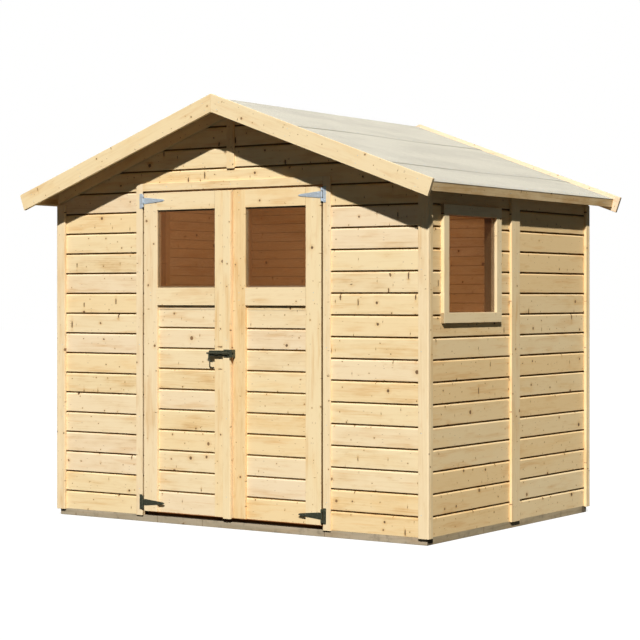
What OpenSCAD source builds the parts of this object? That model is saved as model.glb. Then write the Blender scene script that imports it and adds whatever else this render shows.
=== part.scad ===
// Wooden garden shed: gable-front element shed with a double door, one side
// window and a felted roof.  Millimetres, Z up.  The origin is on the ground
// at the middle of the overall outline; the door faces -Y.

/* [Walls] */
// Width over the wall boards
wall_w = 2500; // [2200:10:3000]
// Depth over the wall boards
wall_d = 1830; // [1600:10:2600]
// Thickness of the wall boards
board_t = 16; // [12:1:22]
// Visible height of one wall board
board_pitch = 115; // [90:1:140]
// Side of the square posts inside the walls
post_s = 45; // [34:1:60]
// Thickness of corner trims and battens
trim_t = 17; // [10:1:22]
// Width of the front face of a corner trim
trim_w = 62; // [45:1:80]
// Width of the batten over a panel joint
batten_w = 96; // [60:1:120]

/* [Base] */
// Height of the base beams
base_h = 38; // [34:1:60]
// Width of the base beams
base_w = 58; // [45:1:80]
// Thickness of the floor boards
floor_t = 16; // [14:1:22]
// Number of joists under the floor
joists = 3; // [2:1:5]

/* [Roof] */
// Height of the ridge at the gable ends
ridge_h = 2373; // [2300:1:2600]
// Slope of the roof in degrees
pitch = 20; // [16:0.5:22]
// Length of the bargeboards along the slope
slope_len = 1486; // [1450:1:1600]
// Length of the roof from front to back
roof_len = 2200; // [2100:10:3000]
// Overhang of the roof in front of the wall
over_front = 190; // [150:5:300]
// Thickness of the roof boards
deck_t = 16; // [14:1:22]
// Thickness of the roofing felt with its laps
felt_t = 4; // [3:0.5:6]
// Height of the bargeboards
barge_h = 94; // [80:1:120]
// Depth of the felt below the upper edge of the bargeboards
felt_low = 19.5; // [10:0.5:25]
// Height of the boards along the eaves
fascia_h = 49; // [40:1:60]
// Distance of the eave boards from the bargeboard ends
eave_set = 40; // [20:1:60]

/* [Door] */
// Clear width between the door casings
door_w = 1233; // [1100:1:1400]
// Height of the underside of the head casing
door_head = 1870; // [1800:1:1880]
// Offset of the doorway from the middle of the wall
door_x = -5; // [-20:1:20]
// Width of the door casings
casing_w = 48; // [40:1:60]
// Height of the leaf bottoms above the ground
leaf_z = 61; // [60:1:70]
// Height of the door leaves
leaf_h = 1799; // [1760:1:1799]
// Gap between leaf and casing
leaf_gap = 9.5; // [8:0.5:12]
// Gap between the two leaves
leaf_joint = 8; // [7:0.5:10]
// Thickness of the leaf frames
leaf_t = 28; // [24:1:32]
// Distance of the meeting joint from the middle of the doorway
joint_off = 18.5; // [0:0.5:30]
// Height of the leaf rails
rail_h = 99; // [80:1:110]
// Height of the door windows
lite_h = 436; // [300:1:500]

/* [Window] */
// Outer size of the square window frame
win_o = 620; // [500:5:700]
// Width of the window frame members
win_m = 55; // [40:1:70]
// Distance of the window frame from the front wall face
win_y = 140; // [100:5:200]
// Height of the window frame's lower edge
win_z = 1136; // [1000:1:1180]

/* [Hinges] */
// Radius of the hinge knuckles
knuckle_r = 5.5; // [5:0.5:6]
// Radius of the hinge pins
pin_r = 2.5; // [2:0.5:3]
// Length of the hinge straps
strap_len = 152; // [120:1:180]
// Height of the upper hinges
hinge_top = 1817; // [1780:1:1830]
// Height of the lower hinges
hinge_low = 111; // [100:1:140]

/* [Bolt] */
// Height of the bolt
bolt_z = 963; // [900:1:1050]
// Radius of the bolt rod
bolt_r = 5; // [4:0.5:6]

/* [Hidden] */
$fn = 48;
fine = 0.1;                            // fine joint between sloping pieces
barge_t = 18;
deck_top = felt_low + felt_t;          // depth of the deck top below the bargeboard edge
deck_low = deck_top + deck_t;
fx = wall_w / 2;                       // board face of the side walls
fy = -roof_len / 2 + over_front;       // board face of the front wall
ry = fy + wall_d;                      // board face of the rear wall
ix = fx - board_t;
ify = fy + board_t;
iry = ry - board_t;
sp = sin(pitch);
cp = cos(pitch);
tp = tan(pitch);
rake_low = 97;                         // lower edge of the rake battens
eave_s = slope_len - eave_set;         // outer face of the eave boards along the slope
ry0 = -roof_len / 2;
ry1 = roof_len / 2;
mid_y = fy + 926;                      // joint between the side wall panels
wall_z0 = base_h;
floor_z = base_h + floor_t;
eave_z = under(fx);                    // underside of the deck at the wall face
face_y = fy - 10;                      // outer face of casings and leaves
dl = door_x - door_w / 2;              // left edge of the doorway
dr = door_x + door_w / 2;
l0 = dl + leaf_gap;                    // left leaf
r1 = dr - leaf_gap;                    // right leaf
l1 = door_x + joint_off - leaf_joint / 2;
r0 = l1 + leaf_joint;
l_hs = 95;                             // stile widths
l_ls = 118.5;
r_ls = 82.5;
r_hs = 102;
leaf_top = leaf_z + leaf_h;
lite_z = leaf_top - rail_h - lite_h;   // lower edge of the door windows
panel_t = 12;
hx_l = dl + leaf_gap / 2;              // hinge axes
hx_r = dr - leaf_gap / 2;
hy = face_y - knuckle_r;
astragal_w = 51;
astragal_t = 15;
bolt_y = face_y - astragal_t - 3 - bolt_r - 0.5;
wx0 = fx - board_t;
wx1 = fx + 18;                         // face of the window frame
wy0 = fy + win_y;
wy1 = wy0 + win_o;

spruce = "#f2dcaf";
spruce_dark = "#d8bd8c";
treated = "#aa9b7d";
steel = "#6f7a76";
feltc = "#dcd8ca";

// Height over x at which pieces meet the deck's underside
function under(x) = ridge_h - deck_low / cp - tp * abs(x) - fine;
// Point at distance s down the right slope and depth t below its top edge
function sl(s, t) = [s * cp - t * sp, ridge_h - s * sp - t * cp];
// Point on the ridge plane at depth t
function rg(t) = [0, ridge_h - t / cp];

// Box between two corners
module bx(x0, x1, y0, y1, z0, z1)
  translate([x0, y0, z0]) cube([x1 - x0, y1 - y0, z1 - z0]);

// Outline in the XZ plane, extruded from y0 to y1
module xz(y0, y1, pts)
  translate([0, y1, 0]) rotate([90, 0, 0])
    linear_extrude(height = y1 - y0) polygon(pts);

module both() { children(); mirror([1, 0, 0]) children(); }

// ---- base and floor ----
module cross_beams() color(treated) {
  bx(-fx, fx, fy, fy + base_w, 0, base_h);
  bx(-fx, fx, ry - base_w, ry, 0, base_h);
}
module side_beams() color(treated)
  both() bx(fx - base_w, fx, fy + base_w, ry - base_w, 0, base_h);
module floor_joists() color(treated) {
  step = (wall_w - base_w) / (joists + 1);
  for (i = [1 : joists])
    translate([-(wall_w - base_w) / 2 + i * step, 0, 0])
      bx(-base_w / 2, base_w / 2, fy + base_w, ry - base_w, 0, base_h);
}
module floor_boards() color(spruce_dark) bx(-ix, ix, ify + 16, iry, base_h, floor_z);

// ---- walls ----
module front_wall_left() color(spruce) bx(-fx, dl, fy, ify, wall_z0, door_head);
module front_wall_right() color(spruce) bx(dr, fx, fy, ify, wall_z0, door_head);
module front_gable() color(spruce)
  xz(fy, ify, [[-fx, door_head], [fx, door_head], [fx, eave_z], [0, under(0)], [-fx, eave_z]]);
module rear_half() xz(iry, ry, [[0, wall_z0], [fx, wall_z0], [fx, eave_z], [0, under(0)]]);
module rear_wall_right() color(spruce_dark) rear_half();
module rear_wall_left() color(spruce_dark) mirror([1, 0, 0]) rear_half();
module left_wall_front() color(spruce_dark) bx(-fx, -ix, ify, mid_y, wall_z0, eave_z - 0.5);
module left_wall_rear() color(spruce_dark) bx(-fx, -ix, mid_y, iry, wall_z0, eave_z - 0.5);
module right_wall_lower() color(spruce_dark) bx(ix, fx, ify, mid_y, wall_z0, win_z);
module right_wall_upper() color(spruce_dark) bx(ix, fx, ify, mid_y, win_z + win_o, eave_z - 0.5);
module right_wall_piers() color(spruce_dark) {
  bx(ix, fx, ify, wy0, win_z, win_z + win_o);
  bx(ix, fx, wy1, mid_y, win_z, win_z + win_o);
}
module right_wall_rear() color(spruce_dark) bx(ix, fx, mid_y, iry, wall_z0, eave_z - 0.5);

// ---- side window ----
module window_rails() color(spruce) {
  bx(wx0, wx1, wy0, wy1, win_z, win_z + win_m);
  bx(wx0, wx1, wy0, wy1, win_z + win_o - win_m, win_z + win_o);
}
module window_stiles() color(spruce) {
  bx(wx0, wx1, wy0, wy0 + win_m, win_z + win_m, win_z + win_o - win_m);
  bx(wx0, wx1, wy1 - win_m, wy1, win_z + win_m, win_z + win_o - win_m);
}
module window_glass() color("#8a6a45")
  bx(wx1 - 19, wx1 - 15, wy0 + win_m, wy1 - win_m, win_z + win_m, win_z + win_o - win_m);

// ---- trims ----
// Each corner has an upright board on the gable side, which covers the edge of a
// narrow one on the long side
module corner_trims() color(spruce) both() for (y = [fy - trim_t, ry])
  bx(fx + trim_t - trim_w, fx + trim_t, y, y + trim_t, base_h - 4, under(fx) - (rake_low - deck_low) / cp - 3);
module corner_returns() color(spruce) both() for (y = [fy, ry - 30])
  bx(fx, fx + trim_t, y, y + 30, base_h - 4, under(fx + trim_t) - 4);
module wall_battens() color(spruce) {
  both() bx(fx, fx + 16, mid_y - batten_w / 2, mid_y + batten_w / 2, base_h - 4, under(fx + 16) - 4);
  bx(-batten_w / 2, batten_w / 2, ry, ry + 16, base_h - 4, ridge_h - rake_low / cp - tp * batten_w / 2 - 3);
  xz(fy - 11, fy, [[-27, 1978], [23, 1978], [23, ridge_h - rake_low / cp - tp * 23 - 3],
    [0, ridge_h - rake_low / cp - 3], [-27, ridge_h - rake_low / cp - tp * 27 - 3]]);
}
module door_casings() color(spruce) {
  bx(dl - casing_w, dl, face_y, fy, base_h - 4, door_head + 44);
  bx(dr, dr + casing_w, face_y, fy, base_h - 4, door_head + 44);
}
module head_casing() color(spruce) bx(dl, dr, face_y, fy, door_head, door_head + 44);

// ---- inner frame ----
module rebated_post() linear_extrude(height = door_head - 18 - floor_z)
  polygon([[dl - post_s, ify], [dl - 1.5, ify], [dl - 1.5, ify + 8], [dl + 16.5, ify + 8],
           [dl + 16.5, ify + post_s], [dl - post_s, ify + post_s]]);
module wall_posts() color(spruce_dark) {
  top = 1850;
  both() {
    bx(ix - post_s, ix, ify, ify + post_s, floor_z, top);
    bx(ix - post_s, ix, iry - post_s, iry, floor_z, top);
    bx(ix - post_s, ix, mid_y - post_s / 2, mid_y + post_s / 2, floor_z, top);
  }
  bx(-post_s / 2, post_s / 2, iry - post_s, iry, floor_z, top);
  bx(ix - post_s, ix, wy0 + win_m - post_s, wy0 + win_m, floor_z, top);
  bx(ix - post_s, ix, wy1 - win_m, wy1 - win_m + post_s, floor_z, top);
}
module door_posts() color(spruce_dark) translate([0, 0, floor_z]) {
  rebated_post();
  translate([2 * door_x, 0, 0]) mirror([1, 0, 0]) rebated_post();
}
module eave_plates() color(spruce_dark) both()
  xz(ify, iry, [[ix - post_s, 1850], [ix, 1850], [ix, under(ix)], [ix - post_s, under(ix - post_s)]]);
module door_lintel() color(spruce_dark)
  translate([dl - post_s, 0, 0]) rotate([90, 0, 90]) linear_extrude(height = door_w + 2 * post_s)
    polygon([[ify, door_head + 1.5], [ify + 8, door_head + 1.5], [ify + 8, door_head - 18],
             [ify + post_s, door_head - 18], [ify + post_s, door_head + 62], [ify, door_head + 62]]);
module window_trimmers() color(spruce_dark) {
  bx(ix - post_s, ix, wy0 + win_m, wy1 - win_m, win_z + win_m - post_s, win_z + win_m);
  bx(ix - post_s, ix, wy0 + win_m, wy1 - win_m, win_z + win_o - win_m, win_z + win_o - win_m + post_s);
}
module purlins() color(spruce_dark) {
  xz(ify, iry, [[-22.5, under(0) - 95], [22.5, under(0) - 95], [22.5, under(22.5)], [0, under(0)], [-22.5, under(22.5)]]);
  both() xz(ify, iry, [sl(750, deck_low + 60), sl(795, deck_low + 60), sl(795, deck_low + fine), sl(750, deck_low + fine)]);
}

// ---- roof ----
module slab_right(t0, t1, s1, y0, y1) xz(y0, y1, [rg(t0), rg(t1), sl(s1, t1), sl(s1, t0)]);
module roof_deck_right() color(spruce_dark)
  slab_right(deck_top, deck_low, eave_s - barge_t - fine, ry0 + barge_t, ry1 - barge_t);
module roof_deck_left() color(spruce_dark) mirror([1, 0, 0])
  slab_right(deck_top, deck_low, eave_s - barge_t - fine, ry0 + barge_t, ry1 - barge_t);
module roof_felt_right() color(feltc)
  slab_right(felt_low, deck_top - fine, eave_s, ry0 + barge_t, ry1 - barge_t);
module roof_felt_left() color(feltc) mirror([1, 0, 0])
  slab_right(felt_low, deck_top - fine, eave_s, ry0 + barge_t, ry1 - barge_t);
module eave_fascias() color("#c8b276") both()
  xz(ry0 + barge_t, ry1 - barge_t, [sl(eave_s - barge_t, deck_top), sl(eave_s - barge_t, deck_top + fascia_h),
    sl(eave_s + 8, deck_top + fascia_h), sl(eave_s, deck_top)]);
// A pair of sloping boards butted at the ridge with a fine joint
module barge_pair(y0, y1) both() difference() {
  slab_right(0, barge_h, slope_len, y0, y1);
  bx(-1, 0.5, y0 - 1, y1 + 1, 0, ridge_h + 10);
}
module front_bargeboards() color(spruce) barge_pair(ry0, ry0 + barge_t);
module rear_bargeboards() color(spruce) barge_pair(ry1 - barge_t, ry1);
module rake_pair(y0, y1) both()
  xz(y0, y1, [[0.5, under(0.5)], [0.5, rg(rake_low)[1] - tp * 0.5], [fx, rg(rake_low)[1] - tp * fx], [fx, under(fx)]]);
module rake_battens() color(spruce_dark) { rake_pair(fy - 20, fy); rake_pair(ry, ry + 20); }

// ---- door leaves ----
module stiles(x0, x1, a, b) {
  bx(x0, x0 + a, face_y, face_y + leaf_t, leaf_z, leaf_top);
  bx(x1 - b, x1, face_y, face_y + leaf_t, leaf_z, leaf_top);
}
module rails(x0, x1) {
  bx(x0, x1, face_y, face_y + leaf_t, leaf_top - rail_h, leaf_top);
  bx(x0, x1, face_y, face_y + leaf_t, lite_z - rail_h, lite_z);
}
module panel(x0, x1) bx(x0, x1, face_y + leaf_t - panel_t, face_y + leaf_t, leaf_z, lite_z - rail_h);
module lite(x0, x1) bx(x0, x1, face_y + 9, face_y + 13, lite_z, leaf_top - rail_h);

module left_door_stiles() color(spruce) stiles(l0, l1, l_hs, l_ls);
module left_door_rails() color(spruce) rails(l0 + l_hs, l1 - l_ls);
module left_door_panel() color(spruce) panel(l0 + l_hs, l1 - l_ls);
module left_door_glass() color("#8a6a45") lite(l0 + l_hs, l1 - l_ls);
module left_door_astragal() color("#f6e2b4")
  bx(l1 - astragal_w, l1, face_y - astragal_t, face_y, leaf_z - 6, leaf_top - 4);
module right_door_stiles() color(spruce) stiles(r0, r1, r_ls, r_hs);
module right_door_rails() color(spruce) rails(r0 + r_ls, r1 - r_hs);
module right_door_panel() color(spruce) panel(r0 + r_ls, r1 - r_hs);
module right_door_glass() color("#8a6a45") lite(r0 + r_ls, r1 - r_hs);

// ---- hinges: d is +1 for the left leaf and -1 for the right leaf ----
module strap(hx, hz, d) translate([hx, hy, hz]) mirror([d < 0 ? 1 : 0, 0, 0]) difference() {
  union() {
    translate([0, 0, -15]) cylinder(r = knuckle_r, h = 30);
    translate([0, knuckle_r, 0]) rotate([90, 0, 0]) linear_extrude(height = 3)
      polygon([[0, -15], [14, -18], [strap_len - 6, -8], [strap_len, -4],
               [strap_len, 4], [strap_len - 6, 8], [14, 18], [0, 15]]);
  }
  translate([0, 0, -40]) cylinder(r = pin_r + 0.05, h = 80);
}
module plate(hx, hz, d) translate([hx, hy, hz]) mirror([d < 0 ? 1 : 0, 0, 0]) {
  translate([-26, knuckle_r - 3, -42.5]) cube([26 - knuckle_r - 1.5, 3, 85]);
  for (k = [0, 1]) mirror([0, 0, k]) {
    translate([-10, knuckle_r - 3, 20]) cube([10, 3, 16]);
    translate([0, 0, 20]) cylinder(r = knuckle_r, h = 16);
  }
  translate([0, 0, -36]) cylinder(r = pin_r, h = 72);
}
module left_door_straps() color(steel) for (z = [hinge_low, hinge_top]) strap(hx_l, z, 1);
module right_door_straps() color(steel) for (z = [hinge_low, hinge_top]) strap(hx_r, z, -1);
module hinge_plates() color(steel) for (z = [hinge_low, hinge_top]) {
  plate(hx_l, z, 1);
  plate(hx_r, z, -1);
}

// ---- bolt: x is measured from the middle of the doorway ----
module along_x(x0, x1, r) translate([door_x + x0, bolt_y, bolt_z]) rotate([0, 90, 0]) cylinder(r = r, h = x1 - x0);
module bolt_plate() color(steel) difference() {
  union() {
    bx(door_x - 132, door_x - 30, face_y - astragal_t - 3, face_y - astragal_t, bolt_z - 16, bolt_z + 16);
    bx(door_x - 30, door_x + 11, face_y - astragal_t - 3, face_y - astragal_t, bolt_z - 22, bolt_z + 22);
    bx(door_x - 104, door_x - 44, face_y - astragal_t, face_y, bolt_z - 15, bolt_z + 15);
    for (x = [[-80, -66], [-30, 6]])
      bx(door_x + x[0], door_x + x[1], bolt_y - bolt_r - 3, face_y - astragal_t - 3, bolt_z - 9, bolt_z + 9);
  }
  along_x(-120, 30, bolt_r + 0.08);
}
module bolt_rod() color(steel) {
  along_x(-141, 13, bolt_r);
  translate([door_x - 126, bolt_y, bolt_z - 50]) cylinder(r = 4, h = 50);
  translate([door_x - 126, bolt_y, bolt_z - 45.5]) rotate([0, 90, 0]) cylinder(r = 3.6, h = 30);
}
module bolt_keeper() color(steel) difference() {
  bx(door_x + 19.5, door_x + 38, bolt_y - bolt_r - 4, face_y, bolt_z - 22, bolt_z + 22);
  bx(door_x + 15, door_x + 45, bolt_y - bolt_r - 1.5, bolt_y + bolt_r + 1.5, bolt_z - bolt_r - 1.5, bolt_z + bolt_r + 1.5);
}

cross_beams();
side_beams();
floor_joists();
floor_boards();
front_wall_left();
front_wall_right();
front_gable();
rear_wall_left();
rear_wall_right();
left_wall_front();
left_wall_rear();
right_wall_lower();
right_wall_upper();
right_wall_piers();
right_wall_rear();
window_rails();
window_stiles();
window_glass();
corner_trims();
corner_returns();
wall_battens();
door_casings();
head_casing();
wall_posts();
door_posts();
eave_plates();
door_lintel();
window_trimmers();
purlins();
roof_deck_left();
roof_deck_right();
roof_felt_left();
roof_felt_right();
eave_fascias();
front_bargeboards();
rear_bargeboards();
rake_battens();
left_door_stiles();
left_door_rails();
left_door_panel();
left_door_glass();
left_door_astragal();
left_door_straps();
right_door_stiles();
right_door_rails();
right_door_panel();
right_door_glass();
right_door_straps();
hinge_plates();
bolt_plate();
bolt_rod();
bolt_keeper();
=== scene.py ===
import math
import random

import bmesh
import bpy
import numpy as np
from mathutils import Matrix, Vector


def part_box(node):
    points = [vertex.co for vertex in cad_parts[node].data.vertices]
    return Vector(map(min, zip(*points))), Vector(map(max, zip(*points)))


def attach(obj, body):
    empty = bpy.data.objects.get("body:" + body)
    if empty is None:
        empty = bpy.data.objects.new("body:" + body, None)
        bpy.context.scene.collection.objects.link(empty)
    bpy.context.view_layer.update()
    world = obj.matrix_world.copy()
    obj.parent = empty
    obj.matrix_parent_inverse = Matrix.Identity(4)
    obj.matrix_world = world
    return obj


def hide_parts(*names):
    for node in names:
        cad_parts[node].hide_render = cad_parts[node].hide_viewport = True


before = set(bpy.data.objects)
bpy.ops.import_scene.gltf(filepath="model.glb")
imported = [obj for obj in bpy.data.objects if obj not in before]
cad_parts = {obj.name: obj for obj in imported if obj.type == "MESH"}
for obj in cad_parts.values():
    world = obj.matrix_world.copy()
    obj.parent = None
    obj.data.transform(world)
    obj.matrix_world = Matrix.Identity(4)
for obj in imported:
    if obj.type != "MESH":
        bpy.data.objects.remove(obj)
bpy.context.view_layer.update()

scene = bpy.context.scene

# ---------------------------------------------------------------- camera
cam_data = bpy.data.cameras.new("camera")
cam = bpy.data.objects.new("camera", cam_data)
scene.collection.objects.link(cam)
cam_data.sensor_width = 36.0
cam_data.lens = 105.23
cam_data.shift_y = -0.0364
cam_data.clip_end = 200.0
cam.location = (6.1685, -9.1350, 1.2744)
cam.rotation_euler = (math.radians(90), 0.0, math.radians(34.161))
scene.camera = cam

# ---------------------------------------------------------------- node helpers


class Tree:
    """Short calls for building one material's nodes."""

    def __init__(self, name):
        self.mat = bpy.data.materials.new(name)
        self.mat.use_nodes = True
        self.nt = self.mat.node_tree
        self.nt.nodes.clear()
        self.out = self.nt.nodes.new("ShaderNodeOutputMaterial")
        self.bsdf = self.nt.nodes.new("ShaderNodeBsdfPrincipled")
        self.nt.links.new(self.bsdf.outputs[0], self.out.inputs[0])

    def put(self, socket, value):
        if isinstance(value, bpy.types.NodeSocket):
            self.nt.links.new(value, socket)
        elif isinstance(value, (tuple, list)):
            n = len(socket.default_value)
            value = tuple(value) + (1.0,) * (n - len(value))
            socket.default_value = value[:n]
        else:
            socket.default_value = value

    def attr(self, name):
        n = self.nt.nodes.new("ShaderNodeAttribute")
        n.attribute_name = name
        return n.outputs["Vector"]

    def fac(self, name):
        n = self.nt.nodes.new("ShaderNodeAttribute")
        n.attribute_name = name
        return n.outputs["Fac"]

    def math(self, op, a, b=0.0, c=0.0, clamp=False):
        n = self.nt.nodes.new("ShaderNodeMath")
        n.operation = op
        n.use_clamp = clamp
        for i, v in enumerate((a, b, c)):
            if i < len(n.inputs):
                self.put(n.inputs[i], v)
        return n.outputs[0]

    def vmath(self, op, a, b=(0, 0, 0), scale=None):
        n = self.nt.nodes.new("ShaderNodeVectorMath")
        n.operation = op
        self.put(n.inputs[0], a)
        self.put(n.inputs[1], b)
        if scale is not None:
            self.put(n.inputs["Scale"], scale)
        return n.outputs["Value"] if op in ("LENGTH", "DOT_PRODUCT", "DISTANCE") else n.outputs["Vector"]

    def sep(self, v):
        n = self.nt.nodes.new("ShaderNodeSeparateXYZ")
        self.put(n.inputs[0], v)
        return n.outputs[0], n.outputs[1], n.outputs[2]

    def comb(self, x, y, z):
        n = self.nt.nodes.new("ShaderNodeCombineXYZ")
        for i, v in enumerate((x, y, z)):
            self.put(n.inputs[i], v)
        return n.outputs[0]

    def noise(self, vec, scale=1.0, detail=2.0, rough=0.5, distort=0.0, colour=False):
        n = self.nt.nodes.new("ShaderNodeTexNoise")
        n.noise_dimensions = "3D"
        self.put(n.inputs["Vector"], vec)
        n.inputs["Scale"].default_value = scale
        n.inputs["Detail"].default_value = detail
        n.inputs["Roughness"].default_value = rough
        n.inputs["Distortion"].default_value = distort
        return n.outputs["Color"] if colour else n.outputs["Fac"]

    def voronoi(self, vec, scale=1.0, dims="2D", feature="F1", randomness=1.0):
        n = self.nt.nodes.new("ShaderNodeTexVoronoi")
        n.voronoi_dimensions = dims
        n.feature = feature
        self.put(n.inputs["Vector"], vec)
        n.inputs["Scale"].default_value = scale
        n.inputs["Randomness"].default_value = randomness
        return n.outputs

    def span(self, v, a, b, c=0.0, d=1.0, smooth=True):
        n = self.nt.nodes.new("ShaderNodeMapRange")
        n.interpolation_type = "SMOOTHSTEP" if smooth else "LINEAR"
        n.clamp = True
        self.put(n.inputs["Value"], v)
        for k, x in (("From Min", a), ("From Max", b), ("To Min", c), ("To Max", d)):
            self.put(n.inputs[k], x)
        return n.outputs["Result"]

    def mix(self, fac, a, b, mode="MIX"):
        n = self.nt.nodes.new("ShaderNodeMix")
        n.data_type = "RGBA"
        n.blend_type = mode
        n.clamp_factor = True
        self.put(n.inputs[0], fac)
        self.put(n.inputs[6], a)
        self.put(n.inputs[7], b)
        return n.outputs[2]

    def ramp(self, fac, stops):
        n = self.nt.nodes.new("ShaderNodeValToRGB")
        e = n.color_ramp.elements
        while len(e) < len(stops):
            e.new(0.5)
        for k, (at, colour) in enumerate(stops):
            e[k].position = at
            e[k].color = (*colour, 1.0)
        self.put(n.inputs[0], fac)
        return n.outputs[0]

    def bump(self, height, strength=0.3, distance=0.001, normal=None):
        n = self.nt.nodes.new("ShaderNodeBump")
        n.inputs["Strength"].default_value = strength
        n.inputs["Distance"].default_value = distance
        self.put(n.inputs["Height"], height)
        if normal is not None:
            self.nt.links.new(normal, n.inputs["Normal"])
        return n.outputs[0]

    def surface(self, **values):
        names = {"colour": "Base Color", "rough": "Roughness", "metal": "Metallic", "normal": "Normal",
                 "alpha": "Alpha", "specular": "Specular IOR Level", "ior": "IOR", "coat": "Coat Weight",
                 "coat_rough": "Coat Roughness", "sheen": "Sheen Weight", "transmission": "Transmission Weight"}
        for k, v in values.items():
            self.put(self.bsdf.inputs[names[k]], v)
        return self.mat


def wood(name, light, mid, dark, knots=0.55, knot_size=1.0, patch=0.35, saw=0.0, grey=0.0, rough=0.62, shade_and_end_grain=(0.205, 0.140, 0.062)):
    """Softwood: growth rings bent round knots, fibres, resin streaks and slow changes of tone. gco is each board's own
    place along, across and through the grain in metres; tone holds its lightness, warmth and share of knots."""
    t = Tree(name)
    p = t.attr("gco")
    tone_x, tone_y, tone_z = t.sep(t.attr("tone"))
    px, py, pz = t.sep(p)

    # knots: one point to a cell of about 120 x 60 mm
    wob = t.vmath("SCALE", t.vmath("SUBTRACT", t.noise(p, 110.0, 2.0, 0.5, colour=True), (0.5, 0.5, 0.5)), scale=0.005)
    pw = t.vmath("ADD", p, wob)
    kx, ky = 8.5, 17.0
    v = t.vmath("MULTIPLY", pw, (kx, ky, 0.0))
    cell = t.voronoi(v, 1.0, "2D", randomness=0.95)
    d = t.vmath("MULTIPLY", t.vmath("SUBTRACT", v, cell["Position"]), (1 / kx, 1 / ky, 0.0))
    cr, cg, cb = t.sep(cell["Color"])
    dx, dy, dz = t.sep(d)
    slim = t.math("GREATER_THAN", cb, 0.70)
    ex = t.math("MULTIPLY", dx, t.span(slim, 0.0, 1.0, 1.0, 1.5, smooth=False))
    ey = t.math("MULTIPLY", dy, t.span(slim, 0.0, 1.0, 1.0, 0.34, smooth=False))
    dist = t.vmath("LENGTH", t.comb(ex, ey, 0.0))
    size = t.math("ADD", t.math("MULTIPLY", t.math("POWER", cr, 5.0), 0.0070 * knot_size), 0.0024 * knot_size)
    size = t.math("MULTIPLY", size, t.span(slim, 0.0, 1.0, 1.0, 0.72, smooth=False))
    group = t.math("MULTIPLY", t.math("SUBTRACT", t.noise(t.vmath("MULTIPLY", p, (1.9, 4.0, 4.0)), 1.0, 1.0, 0.5), 0.53), 2.1)
    there = t.math("GREATER_THAN", t.math("ADD", t.math("ADD", cg, group), t.math("MULTIPLY", tone_z, 0.20)), 1.0 - knots)
    ratio = t.math("DIVIDE", dist, size)
    core = t.math("MULTIPLY", t.span(ratio, 1.15, 0.75, 0.0, 1.0), there)
    rim = t.math("MULTIPLY", t.math("MULTIPLY", t.span(ratio, 0.55, 0.95, 0.0, 1.0), t.span(ratio, 1.2, 0.98, 0.0, 1.0)), there)
    halo = t.math("MULTIPLY", t.span(ratio, 4.2, 0.8, 0.0, 1.0), there)
    # growth rings
    slow = t.noise(t.vmath("MULTIPLY", p, (0.9, 4.6, 4.6)), 1.0, 1.5, 0.5)
    shift = t.math("ADD", t.math("MULTIPLY", slow, 0.085), t.math("MULTIPLY", halo, 0.005))
    across = t.math("ADD", t.math("ADD", py, t.math("MULTIPLY", pz, 0.55)), shift)
    fine = t.noise(t.comb(t.math("MULTIPLY", px, 0.7), t.math("MULTIPLY", across, 300.0), 0.0), 1.0, 1.5, 0.55)
    band = t.noise(t.comb(t.math("MULTIPLY", px, 1.1), t.math("MULTIPLY", across, 85.0), 3.0), 1.0, 3.0, 0.6)
    late = t.span(fine, 0.48, 0.70, 0.0, 1.0)
    band2 = t.span(band, 0.38, 0.74, 0.0, 1.0)
    fibre = t.noise(t.vmath("MULTIPLY", p, (9.0, 620.0, 620.0)), 1.0, 2.0, 0.6)
    tonal = t.noise(t.vmath("MULTIPLY", p, (2.6, 12.0, 12.0)), 1.0, 4.0, 0.6)
    speck = t.noise(t.vmath("MULTIPLY", p, (38.0, 420.0, 420.0)), 1.0, 1.0, 0.5)
    blotch = t.noise(t.vmath("MULTIPLY", p, (7.0, 24.0, 24.0)), 1.0, 3.0, 0.62)

    body = t.math("ADD", t.math("MULTIPLY", band2, 0.30), t.math("MULTIPLY", late, 0.24))
    body = t.math("ADD", body, t.math("MULTIPLY", t.math("SUBTRACT", fibre, 0.5), 0.26))
    body = t.math("ADD", body, t.span(tonal, 0.30, 0.70, -0.62 * patch, 0.62 * patch, smooth=False))
    body = t.math("ADD", body, t.span(blotch, 0.30, 0.70, -0.24, 0.24, smooth=False))
    body = t.math("SUBTRACT", body, t.math("MULTIPLY", tone_x, 0.22), clamp=True)
    colour = t.ramp(body, [(0.0, light), (0.45, mid), (1.0, dark)])
    # warm or pink boards and patches
    warm = t.math("ADD", tone_y, t.span(tonal, 0.48, 0.72, 0.0, 0.45), clamp=True)
    colour = t.mix(warm, colour, t.mix(1.0, colour, (1.0, 0.896, 0.752), "MULTIPLY"))
    # dull rosy boards
    rosy = t.math("MULTIPLY", tone_y, -1.0, clamp=True)
    colour = t.mix(rosy, colour, t.mix(1.0, colour, (0.985, 0.975, 1.13), "MULTIPLY"))
    # broken brown figure in long patches
    area = t.noise(t.vmath("MULTIPLY", p, (2.6, 15.0, 15.0)), 1.0, 2.0, 0.55)
    lines = t.noise(t.vmath("MULTIPLY", p, (7.0, 230.0, 230.0)), 1.0, 2.0, 0.6)
    figure = t.math("MULTIPLY", t.span(area, 0.54, 0.68, 0.0, 1.0), t.span(lines, 0.36, 0.60, 0.25, 1.0))
    colour = t.mix(t.math("MULTIPLY", figure, 0.78), colour, t.mix(1.0, colour, (0.885, 0.765, 0.635), "MULTIPLY"))
    # heartwood streaks
    streak = t.noise(t.vmath("MULTIPLY", p, (2.4, 60.0, 60.0)), 1.0, 3.0, 0.6)
    streak = t.math("MULTIPLY", t.span(streak, 0.60, 0.74, 0.0, 1.0), t.span(fine, 0.3, 0.7, 0.35, 1.0))
    colour = t.mix(t.math("MULTIPLY", streak, 0.50), colour, t.mix(1.0, colour, (0.90, 0.72, 0.52), "MULTIPLY"))
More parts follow.
